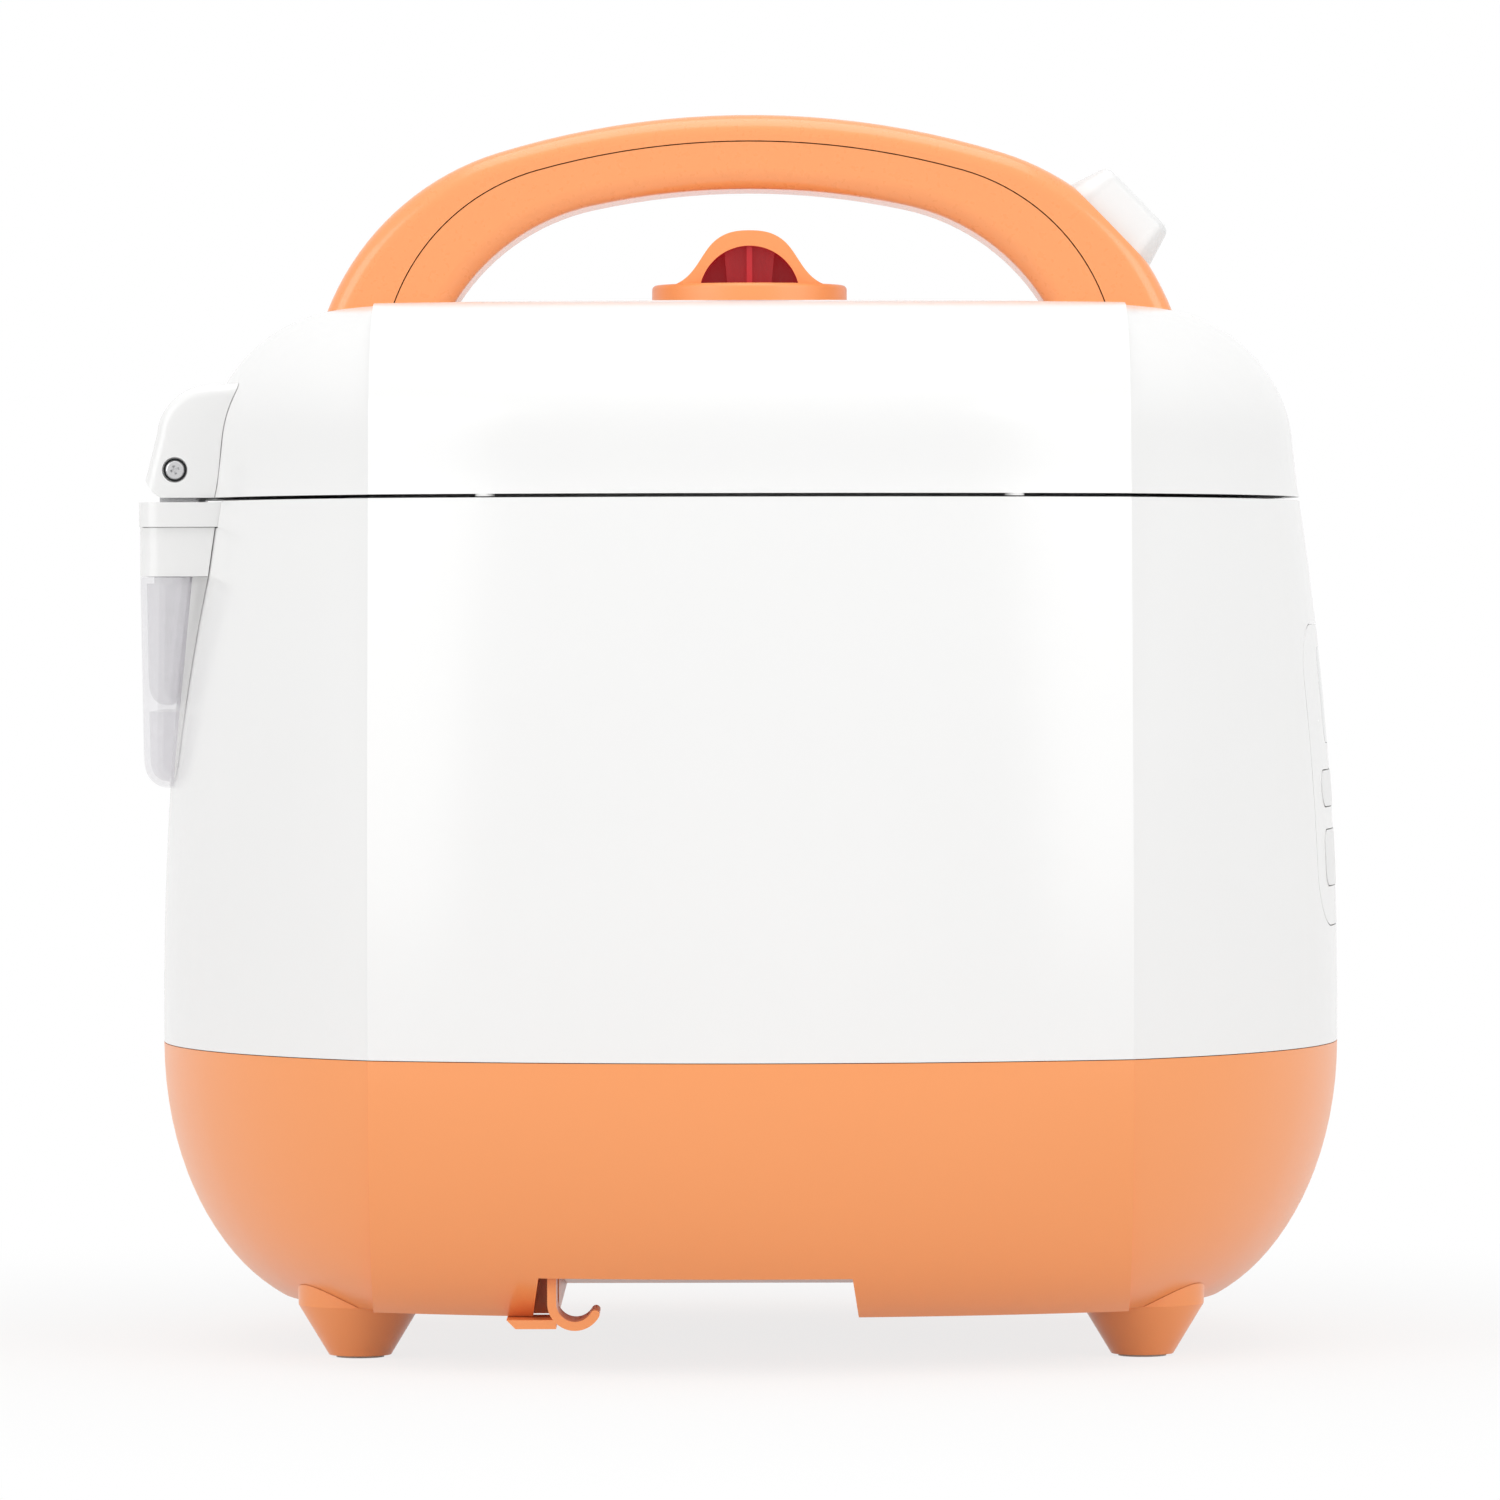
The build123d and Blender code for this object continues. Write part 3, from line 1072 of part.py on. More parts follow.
def release_button():
    plane = button_plane()
    sketch = RectangleRounded(BUTTON_LENGTH, BUTTON_WIDTH, BUTTON_CORNER)
    cap = extrude(sketch, amount=BUTTON_HEIGHT, taper=BUTTON_DRAFT)
    cap = fillet(cap.faces().sort_by(Axis.Z)[-1].edges(), BUTTON_ROUND)
    cap += Pos(0, 0, -BUTTON_SINK) * extrude(sketch, amount=BUTTON_SINK)
    inside = RectangleRounded(BUTTON_LENGTH - 5, BUTTON_WIDTH - 5, BUTTON_CORNER - 2.5)
    cap -= Pos(0, 0, -BUTTON_SINK - 1) * extrude(inside, amount=BUTTON_SINK + 3)
    stem = BUTTON_STEM + 3
    cap += Pos(0, 0, 3 - stem / 2) * Box(8, 10, stem)
    return plane * cap


# Latch
def latch_tail():
    plane = button_plane()
    end = plane.origin - plane.z_dir * (BUTTON_STEM + FIT + LATCH_ARM / 2)
    return end.X, end.Z


def latch_hook():
    half = LATCH_WIDTH / 2
    tail_x, tail_z = latch_tail()
    hook = bar(tail_x, tail_z, LATCH_X, LATCH_Z, LATCH_ARM, half)
    hook += cross_rod(LATCH_ARM / 2, tail_x, tail_z, -half, half)
    hook += bar(LATCH_X, LATCH_Z, LATCH_ARM_X, LATCH_ELBOW_Z, LATCH_ARM, half)
    hook += cross_rod(LATCH_ARM / 2, LATCH_ARM_X, LATCH_ELBOW_Z, -half, half)
    arm = LATCH_ARM / 2
    hook += box(LATCH_ARM_X - arm, LATCH_ARM_X + arm, -half, half, LATCH_LOW_Z, LATCH_ELBOW_Z)
    hook += box(KEEPER_X + FIT, LATCH_ARM_X, -half, half, LATCH_LOW_Z, LATCH_LOW_Z + LATCH_NOSE)
    hook += cross_rod(LATCH_BOSS, LATCH_X, LATCH_Z, -half, half)
    return hook - cross_rod(LATCH_PIN_RADIUS + SLIP, LATCH_X, LATCH_Z, -half - 1, half + 1)


def latch_pin():
    half = LATCH_WIDTH / 2 + FIT + LATCH_EAR
    return cross_rod(LATCH_PIN_RADIUS, LATCH_X, LATCH_Z, -half, half)


def latch_spring():
    start = LATCH_ARM_X + LATCH_ARM / 2 + LATCH_WIRE + TOUCH
    stop = CASE_HALF_X - lid_inset(LATCH_SPRING_Z + LID_WALL) - LID_WALL - LATCH_WIRE - 2 * TOUCH
    wound = Rot(0, 90, 0) * coil("latch_spring", LATCH_COIL, LATCH_WIRE, stop - start, LATCH_TURNS)
    return Pos(start, 0, LATCH_SPRING_Z) * wound


def all_parts():
    base_outer = casing(base_inset, BASE_LEVELS, TOUCH)
    lid_outer = casing(lid_inset, LID_LEVELS)
    lid_face = casing(lid_inset, LID_LEVELS, TOUCH)
    parts = {
        "base_pan": base_pan(),
        "base_screws": base_screws(),
        "foot_pads": foot_pads(),
        "cord_hook": cord_hook(),
        "cord_gland": cord_gland(),
        "body_shell": body_shell(),
        "top_rim": top_rim(),
        "latch_keeper": latch_keeper(),
        "inner_can": inner_can(),
        "inner_pot": inner_pot(),
        "heating_plate": heating_plate(),
        "temperature_sensor": temperature_sensor(),
        "sensor_spring": sensor_spring(),
        "side_heater": side_heater(),
        "thermal_fuse": thermal_fuse(),
        "power_board": power_board(),
        "control_panel": control_panel(),
        "display_window": display_window(),
        "control_board": control_board(),
        "hinge_pin": hinge_pin(),
        "hinge_screws": hinge_screws(),
        "hinge_cover": hinge_cover(lid_face),
        "drip_cup": drip_cup(),
        "drip_collar": drip_collar(),
        "lid_cover": lid_cover(lid_outer),
        "lid_liner": lid_liner(),
        "liner_screws": liner_screws(),
        "lid_bumpers": lid_bumpers(),
        "inner_lid": inner_lid(),
        "lid_gasket": lid_gasket(),
        "valve_body": valve_body(),
        "valve_grommet": valve_grommet(),
        "relief_weight": relief_weight(),
        "steam_cap": steam_cap(),
        "cap_seal": cap_seal(),
        "handle_upper": handle_upper(lid_face),
        "handle_lower": handle_lower(lid_face),
        "handle_screws": handle_screws(),
        "release_button": release_button(),
        "latch_hook": latch_hook(),
        "latch_pin": latch_pin(),
        "latch_spring": latch_spring(),
    }
    corners = ("front_far", "rear_far", "rear_near", "front_near")
    for corner, place in zip(corners, four(FOOT_X, FOOT_Y)):
        parts["foot_" + corner] = foot(*place, base_outer)
    for name, side in (("near", -1), ("far", 1)):
        parts["hinge_bracket_" + name] = hinge_bracket(side)
        parts["hinge_spring_" + name] = hinge_spring(side)
    for name in KEYS:
        parts[name] = panel_key(name)
    return parts


os.makedirs("parts", exist_ok=True)
for node, shape in all_parts().items():
    export_step(Pos(ORIGIN_SHIFT, 0, 0) * shape, f"parts/{node}.step")
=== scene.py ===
import math

import bpy
from mathutils import Matrix, Vector


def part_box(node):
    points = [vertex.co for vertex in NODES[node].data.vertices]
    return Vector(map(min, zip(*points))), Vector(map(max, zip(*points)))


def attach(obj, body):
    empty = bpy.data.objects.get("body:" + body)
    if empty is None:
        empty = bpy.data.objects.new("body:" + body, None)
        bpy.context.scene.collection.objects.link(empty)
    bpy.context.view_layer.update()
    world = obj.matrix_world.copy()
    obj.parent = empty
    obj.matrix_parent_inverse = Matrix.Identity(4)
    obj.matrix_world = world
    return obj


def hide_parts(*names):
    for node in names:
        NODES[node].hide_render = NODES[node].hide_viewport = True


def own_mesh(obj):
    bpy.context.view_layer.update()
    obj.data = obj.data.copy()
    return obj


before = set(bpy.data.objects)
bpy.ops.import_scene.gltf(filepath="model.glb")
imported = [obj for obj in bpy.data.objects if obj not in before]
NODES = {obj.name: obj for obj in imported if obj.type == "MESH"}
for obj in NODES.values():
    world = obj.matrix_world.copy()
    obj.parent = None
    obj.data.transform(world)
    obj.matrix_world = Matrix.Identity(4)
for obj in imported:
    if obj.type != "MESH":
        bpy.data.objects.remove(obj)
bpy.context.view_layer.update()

bl_info = {
    "name": "Countertop pressure cooker",
    "version": (1, 0, 0),
    "blender": (4, 5, 0),
    "location": "View3D > Sidebar > Cooker",
    "description": "Dresses the packed pressure cooker and sets it on a pale studio floor",
    "category": "Object",
}


class CookerColours(bpy.types.PropertyGroup):
    """Colours of the cooker's finishes"""

    shell: bpy.props.FloatVectorProperty(
        name="Shell", description="White of the wall, lid, hinge cover, collar and button",
        subtype="COLOR", size=4, min=0, max=1, default=(0.86, 0.86, 0.855, 1))
    trim: bpy.props.FloatVectorProperty(
        name="Trim", description="Orange of the base, feet, hook, handle and vent cap",
        subtype="COLOR", size=4, min=0, max=1, default=(0.93, 0.345, 0.12, 1))
    # Deep red painted shade for inside the vent cap's arch, where the orange plastic lies in deep shade
    throat_shade: bpy.props.FloatVectorProperty(
        name="Throat", description="Deep red inside the vent cap",
        subtype="COLOR", size=4, min=0, max=1, default=(0.42, 0.012, 0.02, 1))
    clear: bpy.props.FloatVectorProperty(
        name="Clear", description="Tint of the clear drip cup",
        subtype="COLOR", size=4, min=0, max=1, default=(0.74, 0.72, 0.77, 1))
    pale_grey: bpy.props.FloatVectorProperty(
        name="Pale grey", description="Lid liner, vent tube and latch",
        subtype="COLOR", size=4, min=0, max=1, default=(0.62, 0.62, 0.63, 1))
    keys: bpy.props.FloatVectorProperty(
        name="Keys", description="Off-white of the keys on the front panel",
        subtype="COLOR", size=4, min=0, max=1, default=(0.84, 0.84, 0.835, 1))
    seal: bpy.props.FloatVectorProperty(
        name="Seal", description="Silicone seals, pads and bumpers",
        subtype="COLOR", size=4, min=0, max=1, default=(0.66, 0.66, 0.64, 1))
    aluminium: bpy.props.FloatVectorProperty(
        name="Aluminium", description="Heating plate and sensor, and a lighter tone for the inner lid",
        subtype="COLOR", size=4, min=0, max=1, default=(0.6, 0.6, 0.61, 1))
    ceramic: bpy.props.FloatVectorProperty(
        name="Ceramic", description="Sleeve of the thermal fuse",
        subtype="COLOR", size=4, min=0, max=1, default=(0.75, 0.72, 0.66, 1))
    # Near-black collar round each screw's head: painted shade of the gap round the head
    collar: bpy.props.FloatVectorProperty(
        name="Collar", description="Dark collar round a screw's head",
        subtype="COLOR", size=4, min=0, max=1, default=(0.035, 0.036, 0.038, 1))
    coating: bpy.props.FloatVectorProperty(
        name="Coating", description="Dark coating of the inner pot",
        subtype="COLOR", size=4, min=0, max=1, default=(0.05, 0.05, 0.055, 1))


class CookerSizes(bpy.types.PropertyGroup):
    """Sizes of the view, of the pieces modelled here and of the painted areas"""

    eye_height: bpy.props.FloatProperty(
        name="Eye height", description="Height of the camera over the floor",
        unit="LENGTH", default=0.189)
    eye_distance: bpy.props.FloatProperty(
        name="Eye distance", description="Distance of the camera from the middle of the cooker",
        unit="LENGTH", default=2.36)
    aim_height: bpy.props.FloatProperty(
        name="Aim height", description="Height that the middle of the picture shows",
        unit="LENGTH", default=0.151)
    roll: bpy.props.FloatProperty(
        name="Roll", description="Slight roll of the camera",
        subtype="ANGLE", default=math.radians(0.1))
    picture_width: bpy.props.FloatProperty(
        name="Picture width", description="Width that the picture shows at the middle of the cooker",
        unit="LENGTH", default=0.384)
    base_screw: bpy.props.FloatProperty(
        name="Base screw", description="Radius of a base screw's head",
        unit="LENGTH", default=0.0038)
    liner_screw: bpy.props.FloatProperty(
        name="Liner screw", description="Radius of a liner screw's head",
        unit="LENGTH", default=0.0031)
    base_rise: bpy.props.FloatProperty(
        name="Base screw rise", description="Height of a base screw's head",
        unit="LENGTH", default=0.0022)
    liner_rise: bpy.props.FloatProperty(
        name="Liner screw rise", description="Height of a liner screw's head",
        unit="LENGTH", default=0.0011)
    hinge_rise: bpy.props.FloatProperty(
        name="Hinge screw rise", description="Height of a hinge screw's head",
        unit="LENGTH", default=0.0016)
    hinge_shank: bpy.props.FloatProperty(
        name="Hinge screw shank", description="Length of a hinge screw under its head",
        unit="LENGTH", default=0.01)
    hinge_turn: bpy.props.FloatProperty(
        name="Hinge screw turn", description="How far the hinge screws' crosses are turned",
        subtype="ANGLE", default=math.radians(18))
    vent_half: bpy.props.FloatProperty(
        name="Vent mouth", description="Half the width of the vent cap's arch at its foot",
        unit="LENGTH", default=0.0124)
    vent_rise: bpy.props.FloatProperty(
        name="Vent rise", description="Height of the vent cap's arch",
        unit="LENGTH", default=0.0096)
    vent_roof: bpy.props.FloatProperty(
        name="Vent roof", description="Thickness of the vent cap over its arch",
        unit="LENGTH", default=0.0039)
    vent_depth: bpy.props.FloatProperty(
        name="Vent depth", description="Half the length of the vent cap's arch",
        unit="LENGTH", default=0.0171)
    sensor_wire: bpy.props.FloatProperty(
        name="Sensor wire", description="Radius of the sensor spring's wire",
        unit="LENGTH", default=0.0006)
    sensor_travel: bpy.props.FloatProperty(
        name="Sensor travel", description="How far the sensor goes down",
        unit="LENGTH", default=0.002)
    latch_wire: bpy.props.FloatProperty(
        name="Latch wire", description="Radius of the latch spring's wire",
        unit="LENGTH", default=0.00045)
    latch_swing: bpy.props.FloatProperty(
        name="Latch swing", description="How far the latch hook turns",
        subtype="ANGLE", default=math.radians(4.2))
    spring_turns: bpy.props.IntProperty(
        name="Spring turns", description="Turns of the sensor's and the latch's springs",
        default=5)
    # Width of the painted highlight along the drip cup's front
    cup_strip: bpy.props.FloatProperty(
        name="Cup strip", description="Width of the paler strip along the drip cup's front",
        unit="LENGTH", default=0.003)
    cup_lean: bpy.props.FloatProperty(
        name="Cup lean", description="How far the cup's front leans for each metre of height",
        default=0.1116)
    floor_size: bpy.props.FloatProperty(
        name="Floor", description="Side of the studio floor",
        unit="LENGTH", default=9.0)


class CookerLights(bpy.types.PropertyGroup):
    """Lamps, room and floor of the studio"""

    side_place: bpy.props.FloatVectorProperty(
        name="Side lamp place", description="Place of the right lamp; the left one mirrors it",
        subtype="TRANSLATION", unit="LENGTH", size=3, default=(1.8, -1.4, 0.9))
    side_width: bpy.props.FloatProperty(
        name="Side lamp width", description="Side of each side lamp",
        unit="LENGTH", default=1.6)
    side_power: bpy.props.FloatProperty(
        name="Side lamp power", description="Power of each side lamp",
        unit="POWER", default=17.5)
    top_place: bpy.props.FloatVectorProperty(
        name="Top lamp place", description="Place of the top lamp",
        subtype="TRANSLATION", unit="LENGTH", size=3, default=(0.0, -0.3, 2.1))
    top_width: bpy.props.FloatProperty(
        name="Top lamp width", description="Side of the top lamp",
        unit="LENGTH", default=1.8)
    top_power: bpy.props.FloatProperty(
        name="Top lamp power", description="Power of the top lamp",
        unit="POWER", default=20.0)
    room: bpy.props.FloatProperty(
        name="Room", description="Strength of the white room as light on the cooker",
        subtype="FACTOR", min=0, max=1, default=0.5)
    floor: bpy.props.FloatVectorProperty(
        name="Floor", description="Pale grey of the floor",
        subtype="COLOR", size=4, min=0, max=1, default=(0.77, 0.77, 0.77, 1))
    shadow_near: bpy.props.FloatProperty(
        name="Shadow near", description="Distance from the middle at which the floor starts to fade to white",
        unit="LENGTH", default=0.16)
    shadow_far: bpy.props.FloatProperty(
        name="Shadow far", description="Distance from the middle at which the floor is white",
        unit="LENGTH", default=0.42)
    shadow_share: bpy.props.FloatProperty(
        name="Shadow share", description="Share of plain white in the floor under the cooker",
        subtype="FACTOR", min=0, max=1, default=0.8)


class Wire:
    """A node's output that takes part in Python sums; each sum adds a Math node."""

    def __init__(self, finish, socket):
        self.finish = finish
        self.socket = socket

    def sum(self, operation, left, right):
        return self.finish.node("ShaderNodeMath", {"operation": operation}, {0: left, 1: right})

    def __add__(self, other):
        return self.sum("ADD", self, other)

    def __radd__(self, other):
        return self.sum("ADD", other, self)

    def __sub__(self, other):
        return self.sum("SUBTRACT", self, other)

    def __rsub__(self, other):
        return self.sum("SUBTRACT", other, self)

    def __mul__(self, other):
        return self.sum("MULTIPLY", self, other)

    def __rmul__(self, other):
        return self.sum("MULTIPLY", other, self)

    def __gt__(self, other):
        return self.sum("GREATER_THAN", self, other)

    def __lt__(self, other):
        return self.sum("LESS_THAN", self, other)


class Finish:
    """One material: node() adds any node, and set() fills the sockets of its main shader."""

    def __init__(self, name):
        self.material = bpy.data.materials.new(name)
        self.material.use_nodes = True
        self.tree = self.material.node_tree
        self.shader = self.tree.nodes["Principled BSDF"]

    def node(self, kind, settings=None, inputs=None, output=0):
        made = self.tree.nodes.new(kind)
        for key, value in (settings or {}).items():
            setattr(made, key, value)
        for key, value in (inputs or {}).items():
            self.feed(made.inputs[key], value)
        return Wire(self, made.outputs[output])

    def feed(self, socket, value):
        if isinstance(value, Wire):
            self.tree.links.new(value.socket, socket)
        else:
            socket.default_value = value

    def set(self, **values):
        for key, value in values.items():
            self.feed(self.shader.inputs[key.replace("_", " ").title().replace("Ior", "IOR")], value)
        return self

    def place(self):
        return self.node("ShaderNodeTexCoord", output=3)

    def noise(self, scale, detail=2.0, vector=None):
        inputs = {"Vector": vector or self.place(), "Scale": scale, "Detail": detail}
        return self.node("ShaderNodeTexNoise", {"noise_dimensions": "3D"}, inputs)

    def between(self, share, first, second):
        # Input 0 is the share; 6 and 7 are the two colours
        return self.node("ShaderNodeMix", {"data_type": "RGBA"}, {0: share, 6: first, 7: second}, 2)

    def bump(self, height, depth):
        self.set(Normal=self.node("ShaderNodeBump", inputs={
            "Height": height, "Distance": depth, "Strength": 1.0}))
        return self

    def axis(self, index):
        return self.node("ShaderNodeSeparateXYZ", inputs={0: self.place()}, output=index)


def shade(colour, factor):
    """A lighter or darker tone of a colour"""
    return tuple(part * factor for part in colour[:3]) + (1.0,)


def colours():
    return bpy.context.scene.cooker_colours


def sizes():
    return bpy.context.scene.cooker_sizes


def lights():
    return bpy.context.scene.cooker_lights


def pot_middle():
    """Where the pot's axis crosses the length of the cooker"""
    low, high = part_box("inner_pot")
    return (low.x + high.x) / 2


# Finishes
def gloss_plastic(name, colour, rough=0.2, drift=0.01, coat=0.0):
    """Moulded gloss plastic: a slight drift of tone, uneven gloss and a faint moulded skin"""
    finish = Finish(name)
    tone = finish.between(finish.noise(14.0), shade(colour, 1 - drift), shade(colour, 1 + drift))
    flow = finish.noise(650.0, 2.0)
    finish.set(Base_Color=tone, Roughness=flow * 0.05 + (rough - 0.025),
               Coat_Weight=coat, Coat_Roughness=0.12)
    return finish.bump(finish.noise(420.0, 1.0), 0.000004)


def satin_plastic(name, colour):
    """Moulded satin plastic with a fine spark-eroded grain"""
    finish = Finish(name)
    tone = finish.between(finish.noise(22.0), shade(colour, 0.96), shade(colour, 1.03))
    finish.set(Base_Color=tone, Roughness=finish.noise(160.0, 3.0) * 0.12 + 0.3)
    return finish.bump(finish.noise(1900.0, 2.0), 0.00003)


def clear_plastic(name, colour, edge, cup_high):
    """Clear moulded plastic, slightly clouded, with a paler, less clear band of painted highlight along the
    cup's leaning front
    """
    finish = Finish(name)
    lean = (finish.axis(2) - cup_high.z) * sizes().cup_lean
    # Painted highlight: a paler, less clear band along the cup's leaning front, in the given white
    highlight_strip = finish.axis(0) - lean > cup_high.x - sizes().cup_strip
    cloud = finish.between(finish.noise(18.0), shade(colour, 0.94), shade(colour, 1.06))
    finish.set(Base_Color=finish.between(highlight_strip, cloud, edge), IOR=1.49,
               Alpha=finish.noise(45.0) * 0.1 + highlight_strip * 0.3 + 0.22,
               Roughness=finish.noise(60.0) * 0.06 + 0.08)
    return finish.bump(finish.noise(220.0), 0.00002)


def silicone(name, colour):
    """Dull moulded silicone"""
    finish = Finish(name)
    tone = finish.between(finish.noise(30.0), shade(colour, 0.93), shade(colour, 1.05))
    finish.set(Base_Color=tone, Roughness=finish.noise(400.0) * 0.15 + 0.55)
    return finish.bump(finish.noise(1500.0, 2.0), 0.00002)


def brushed_steel(name, colour=(0.62, 0.62, 0.63, 1), rough=0.28):
    """Plated steel, drawn along its length, with cloudy patches"""
    finish = Finish(name)
    stretched = finish.node("ShaderNodeMapping", inputs={
        "Vector": finish.place(), "Scale": (1.0, 14.0, 14.0)})
    grain = finish.noise(160.0, 4.0, stretched)
    tone = finish.between(finish.noise(120.0), shade(colour, 0.85), shade(colour, 1.08))
    finish.set(Base_Color=tone, Metallic=1.0, Roughness=grain * 0.2 + (rough - 0.1))
    return finish.bump(grain, 0.00002)


def turned_metal(name, colour, rough, centre_x, pitch):
    """Metal spun on the pot's axis: fine rings round the middle"""
    finish = Finish(name)
    centred = finish.node("ShaderNodeMapping", inputs={
        "Vector": finish.place(), "Location": (-centre_x, 0, 0), "Scale": (1, 1, 0)})
    radius = finish.node("ShaderNodeVectorMath", {"operation": "LENGTH"}, {0: centred}, 1)
    rings = finish.node("ShaderNodeMath", {"operation": "SINE"}, {0: radius * (2 * math.pi / pitch)})
    tone = finish.between(finish.noise(25.0), shade(colour, 0.9), shade(colour, 1.06))
    finish.set(Base_Color=tone, Metallic=1.0, Roughness=finish.noise(300.0) * 0.12 + (rough - 0.06))
    return finish.bump(rings, 0.00002)


def pot_coating(name, colour):
    """Dark non-stick coating with pale mineral specks"""
    finish = Finish(name)
    cells = finish.node("ShaderNodeTexVoronoi", inputs={"Vector": finish.place(), "Scale": 420.0})
    specks = (cells < 0.16) * (finish.noise(190.0) > 0.56)
    base = finish.between(finish.noise(40.0), shade(colour, 0.8), shade(colour, 1.25))
    tone = finish.between(specks, base, (0.42, 0.42, 0.41, 1))
    finish.set(Base_Color=tone, Roughness=finish.noise(500.0) * 0.15 + 0.34)
    return finish.bump(finish.noise(700.0, 3.0), 0.00003)


def circuit_board(name):
    """Green lacquered board with pale copper runs"""
    finish = Finish(name)
    runs = finish.node("ShaderNodeTexBrick", {"offset": 0.5}, {
        "Vector": finish.place(), "Scale": 90.0, "Mortar Size": 0.02, "Color1": (0.02, 0.14, 0.05, 1),
        "Color2": (0.03, 0.18, 0.07, 1), "Mortar": (0.16, 0.3, 0.1, 1)})
    finish.set(Base_Color=runs, Roughness=finish.noise(300.0) * 0.1 + 0.35)
    return finish.bump(finish.noise(900.0), 0.00002)


def display_glass(name):
    """Pale display window, a little darker in cloudy patches"""
    finish = Finish(name)
    tone = finish.between(finish.noise(60.0), (0.56, 0.58, 0.58, 1), (0.64, 0.66, 0.66, 1))
    finish.set(Base_Color=tone, Roughness=finish.noise(200.0) * 0.04 + 0.06)
    return finish


def vent_plastic(name, colour, throat_shade, cap_low, cap_high):
    """The cap's orange outside, and inside its arch a deep red painted shade with a faint painted glow"""
    finish = Finish(name)
    half = sizes().vent_half
    rise = sizes().vent_rise
    radius = (half * half + rise * rise) / (2 * rise)
    roof_z = cap_high.z - sizes().vent_roof
    along = finish.axis(0) - (cap_low.x + cap_high.x) / 2
    up = finish.axis(2) - (roof_z - radius)
    across = finish.node("ShaderNodeMath", {"operation": "ABSOLUTE"}, {0: finish.axis(1)})
    slack = 0.0002
    arch = along * along + up * up < (radius + slack) * (radius + slack)
    mouth = arch * (finish.axis(2) > roof_z - rise - slack) * (across < sizes().vent_depth - slack)
    outer = finish.between(finish.noise(22.0), shade(colour, 0.97), shade(colour, 1.03))
    # Painted shade: inside the arch the orange plastic is painted deep red, the tone it takes in deep shade
    inner = finish.between(finish.noise(80.0), shade(throat_shade, 0.8), shade(throat_shade, 1.15))
    # Painted glow: the arch's inside also gives off a little dark red light, though it is no lamp
    glow = finish.between(mouth, (0, 0, 0, 1), shade(throat_shade, 0.3))
    finish.set(Base_Color=finish.between(mouth, outer, inner), Roughness=finish.noise(160.0) * 0.12 + 0.3,
               Emission_Color=glow, Emission_Strength=1.0)
    return finish.bump(finish.noise(1900.0, 2.0), 0.00003)


def dress(finish, *names):
    """Puts a finish on CAD nodes"""
    for name in names:
        piece = NODES[name]
        piece.data.materials.clear()
        piece.data.materials.append(finish.material)


# Modelling
def choose_faces(piece, test):
    """Selects the faces whose middle and normal pass a test, and goes into edit mode"""
    bpy.ops.object.mode_set(mode="EDIT")
    bpy.ops.mesh.select_mode(type="FACE")
    bpy.ops.mesh.select_all(action="DESELECT")
    bpy.ops.object.mode_set(mode="OBJECT")
    for face in piece.data.polygons:
        face.select = test(face.center, face.normal)
    bpy.ops.object.mode_set(mode="EDIT")


def choose_edges(piece, test):
    """Selects the edges whose two ends pass a test, and goes into edit mode"""
    bpy.ops.object.mode_set(mode="EDIT")
    bpy.ops.mesh.select_mode(type="EDGE")
    bpy.ops.mesh.select_all(action="DESELECT")
    bpy.ops.object.mode_set(mode="OBJECT")
    points = piece.data.vertices
    for edge in piece.data.edges:
        edge.select = all(test(points[end].co) for end in edge.vertices)
    bpy.ops.object.mode_set(mode="EDIT")


def cut(piece, cutter):
    """Cuts one mesh out of another"""
    bpy.ops.object.select_all(action="DESELECT")
    bpy.context.view_layer.objects.active = piece
    taken = piece.modifiers.new("recess", "BOOLEAN")
    taken.operation = "DIFFERENCE"
    taken.solver = "EXACT"
    taken.object = cutter
    bpy.ops.object.modifier_apply(modifier=taken.name)


def recess_cutter(head, rise):
    """One arm of the cross recess, narrower at its foot"""
    foot = 0.35 * rise
    above = 0.55 * rise
    bpy.ops.object.select_all(action="DESELECT")
    bpy.ops.mesh.primitive_cube_add(size=1)
    cutter = bpy.context.object
    cutter.scale = (1.24 * head, 0.3 * head, rise - foot + above)
    cutter.location = (0, 0, (foot + rise + above) / 2)
    bpy.ops.object.transform_apply(location=True, rotation=False, scale=True)
    choose_faces(cutter, lambda middle, normal: normal.z < -0.9)
    bpy.ops.transform.resize(value=(0.5, 0.72, 1), center_override=(0, 0, foot))
    bpy.ops.object.mode_set(mode="OBJECT")
    return cutter


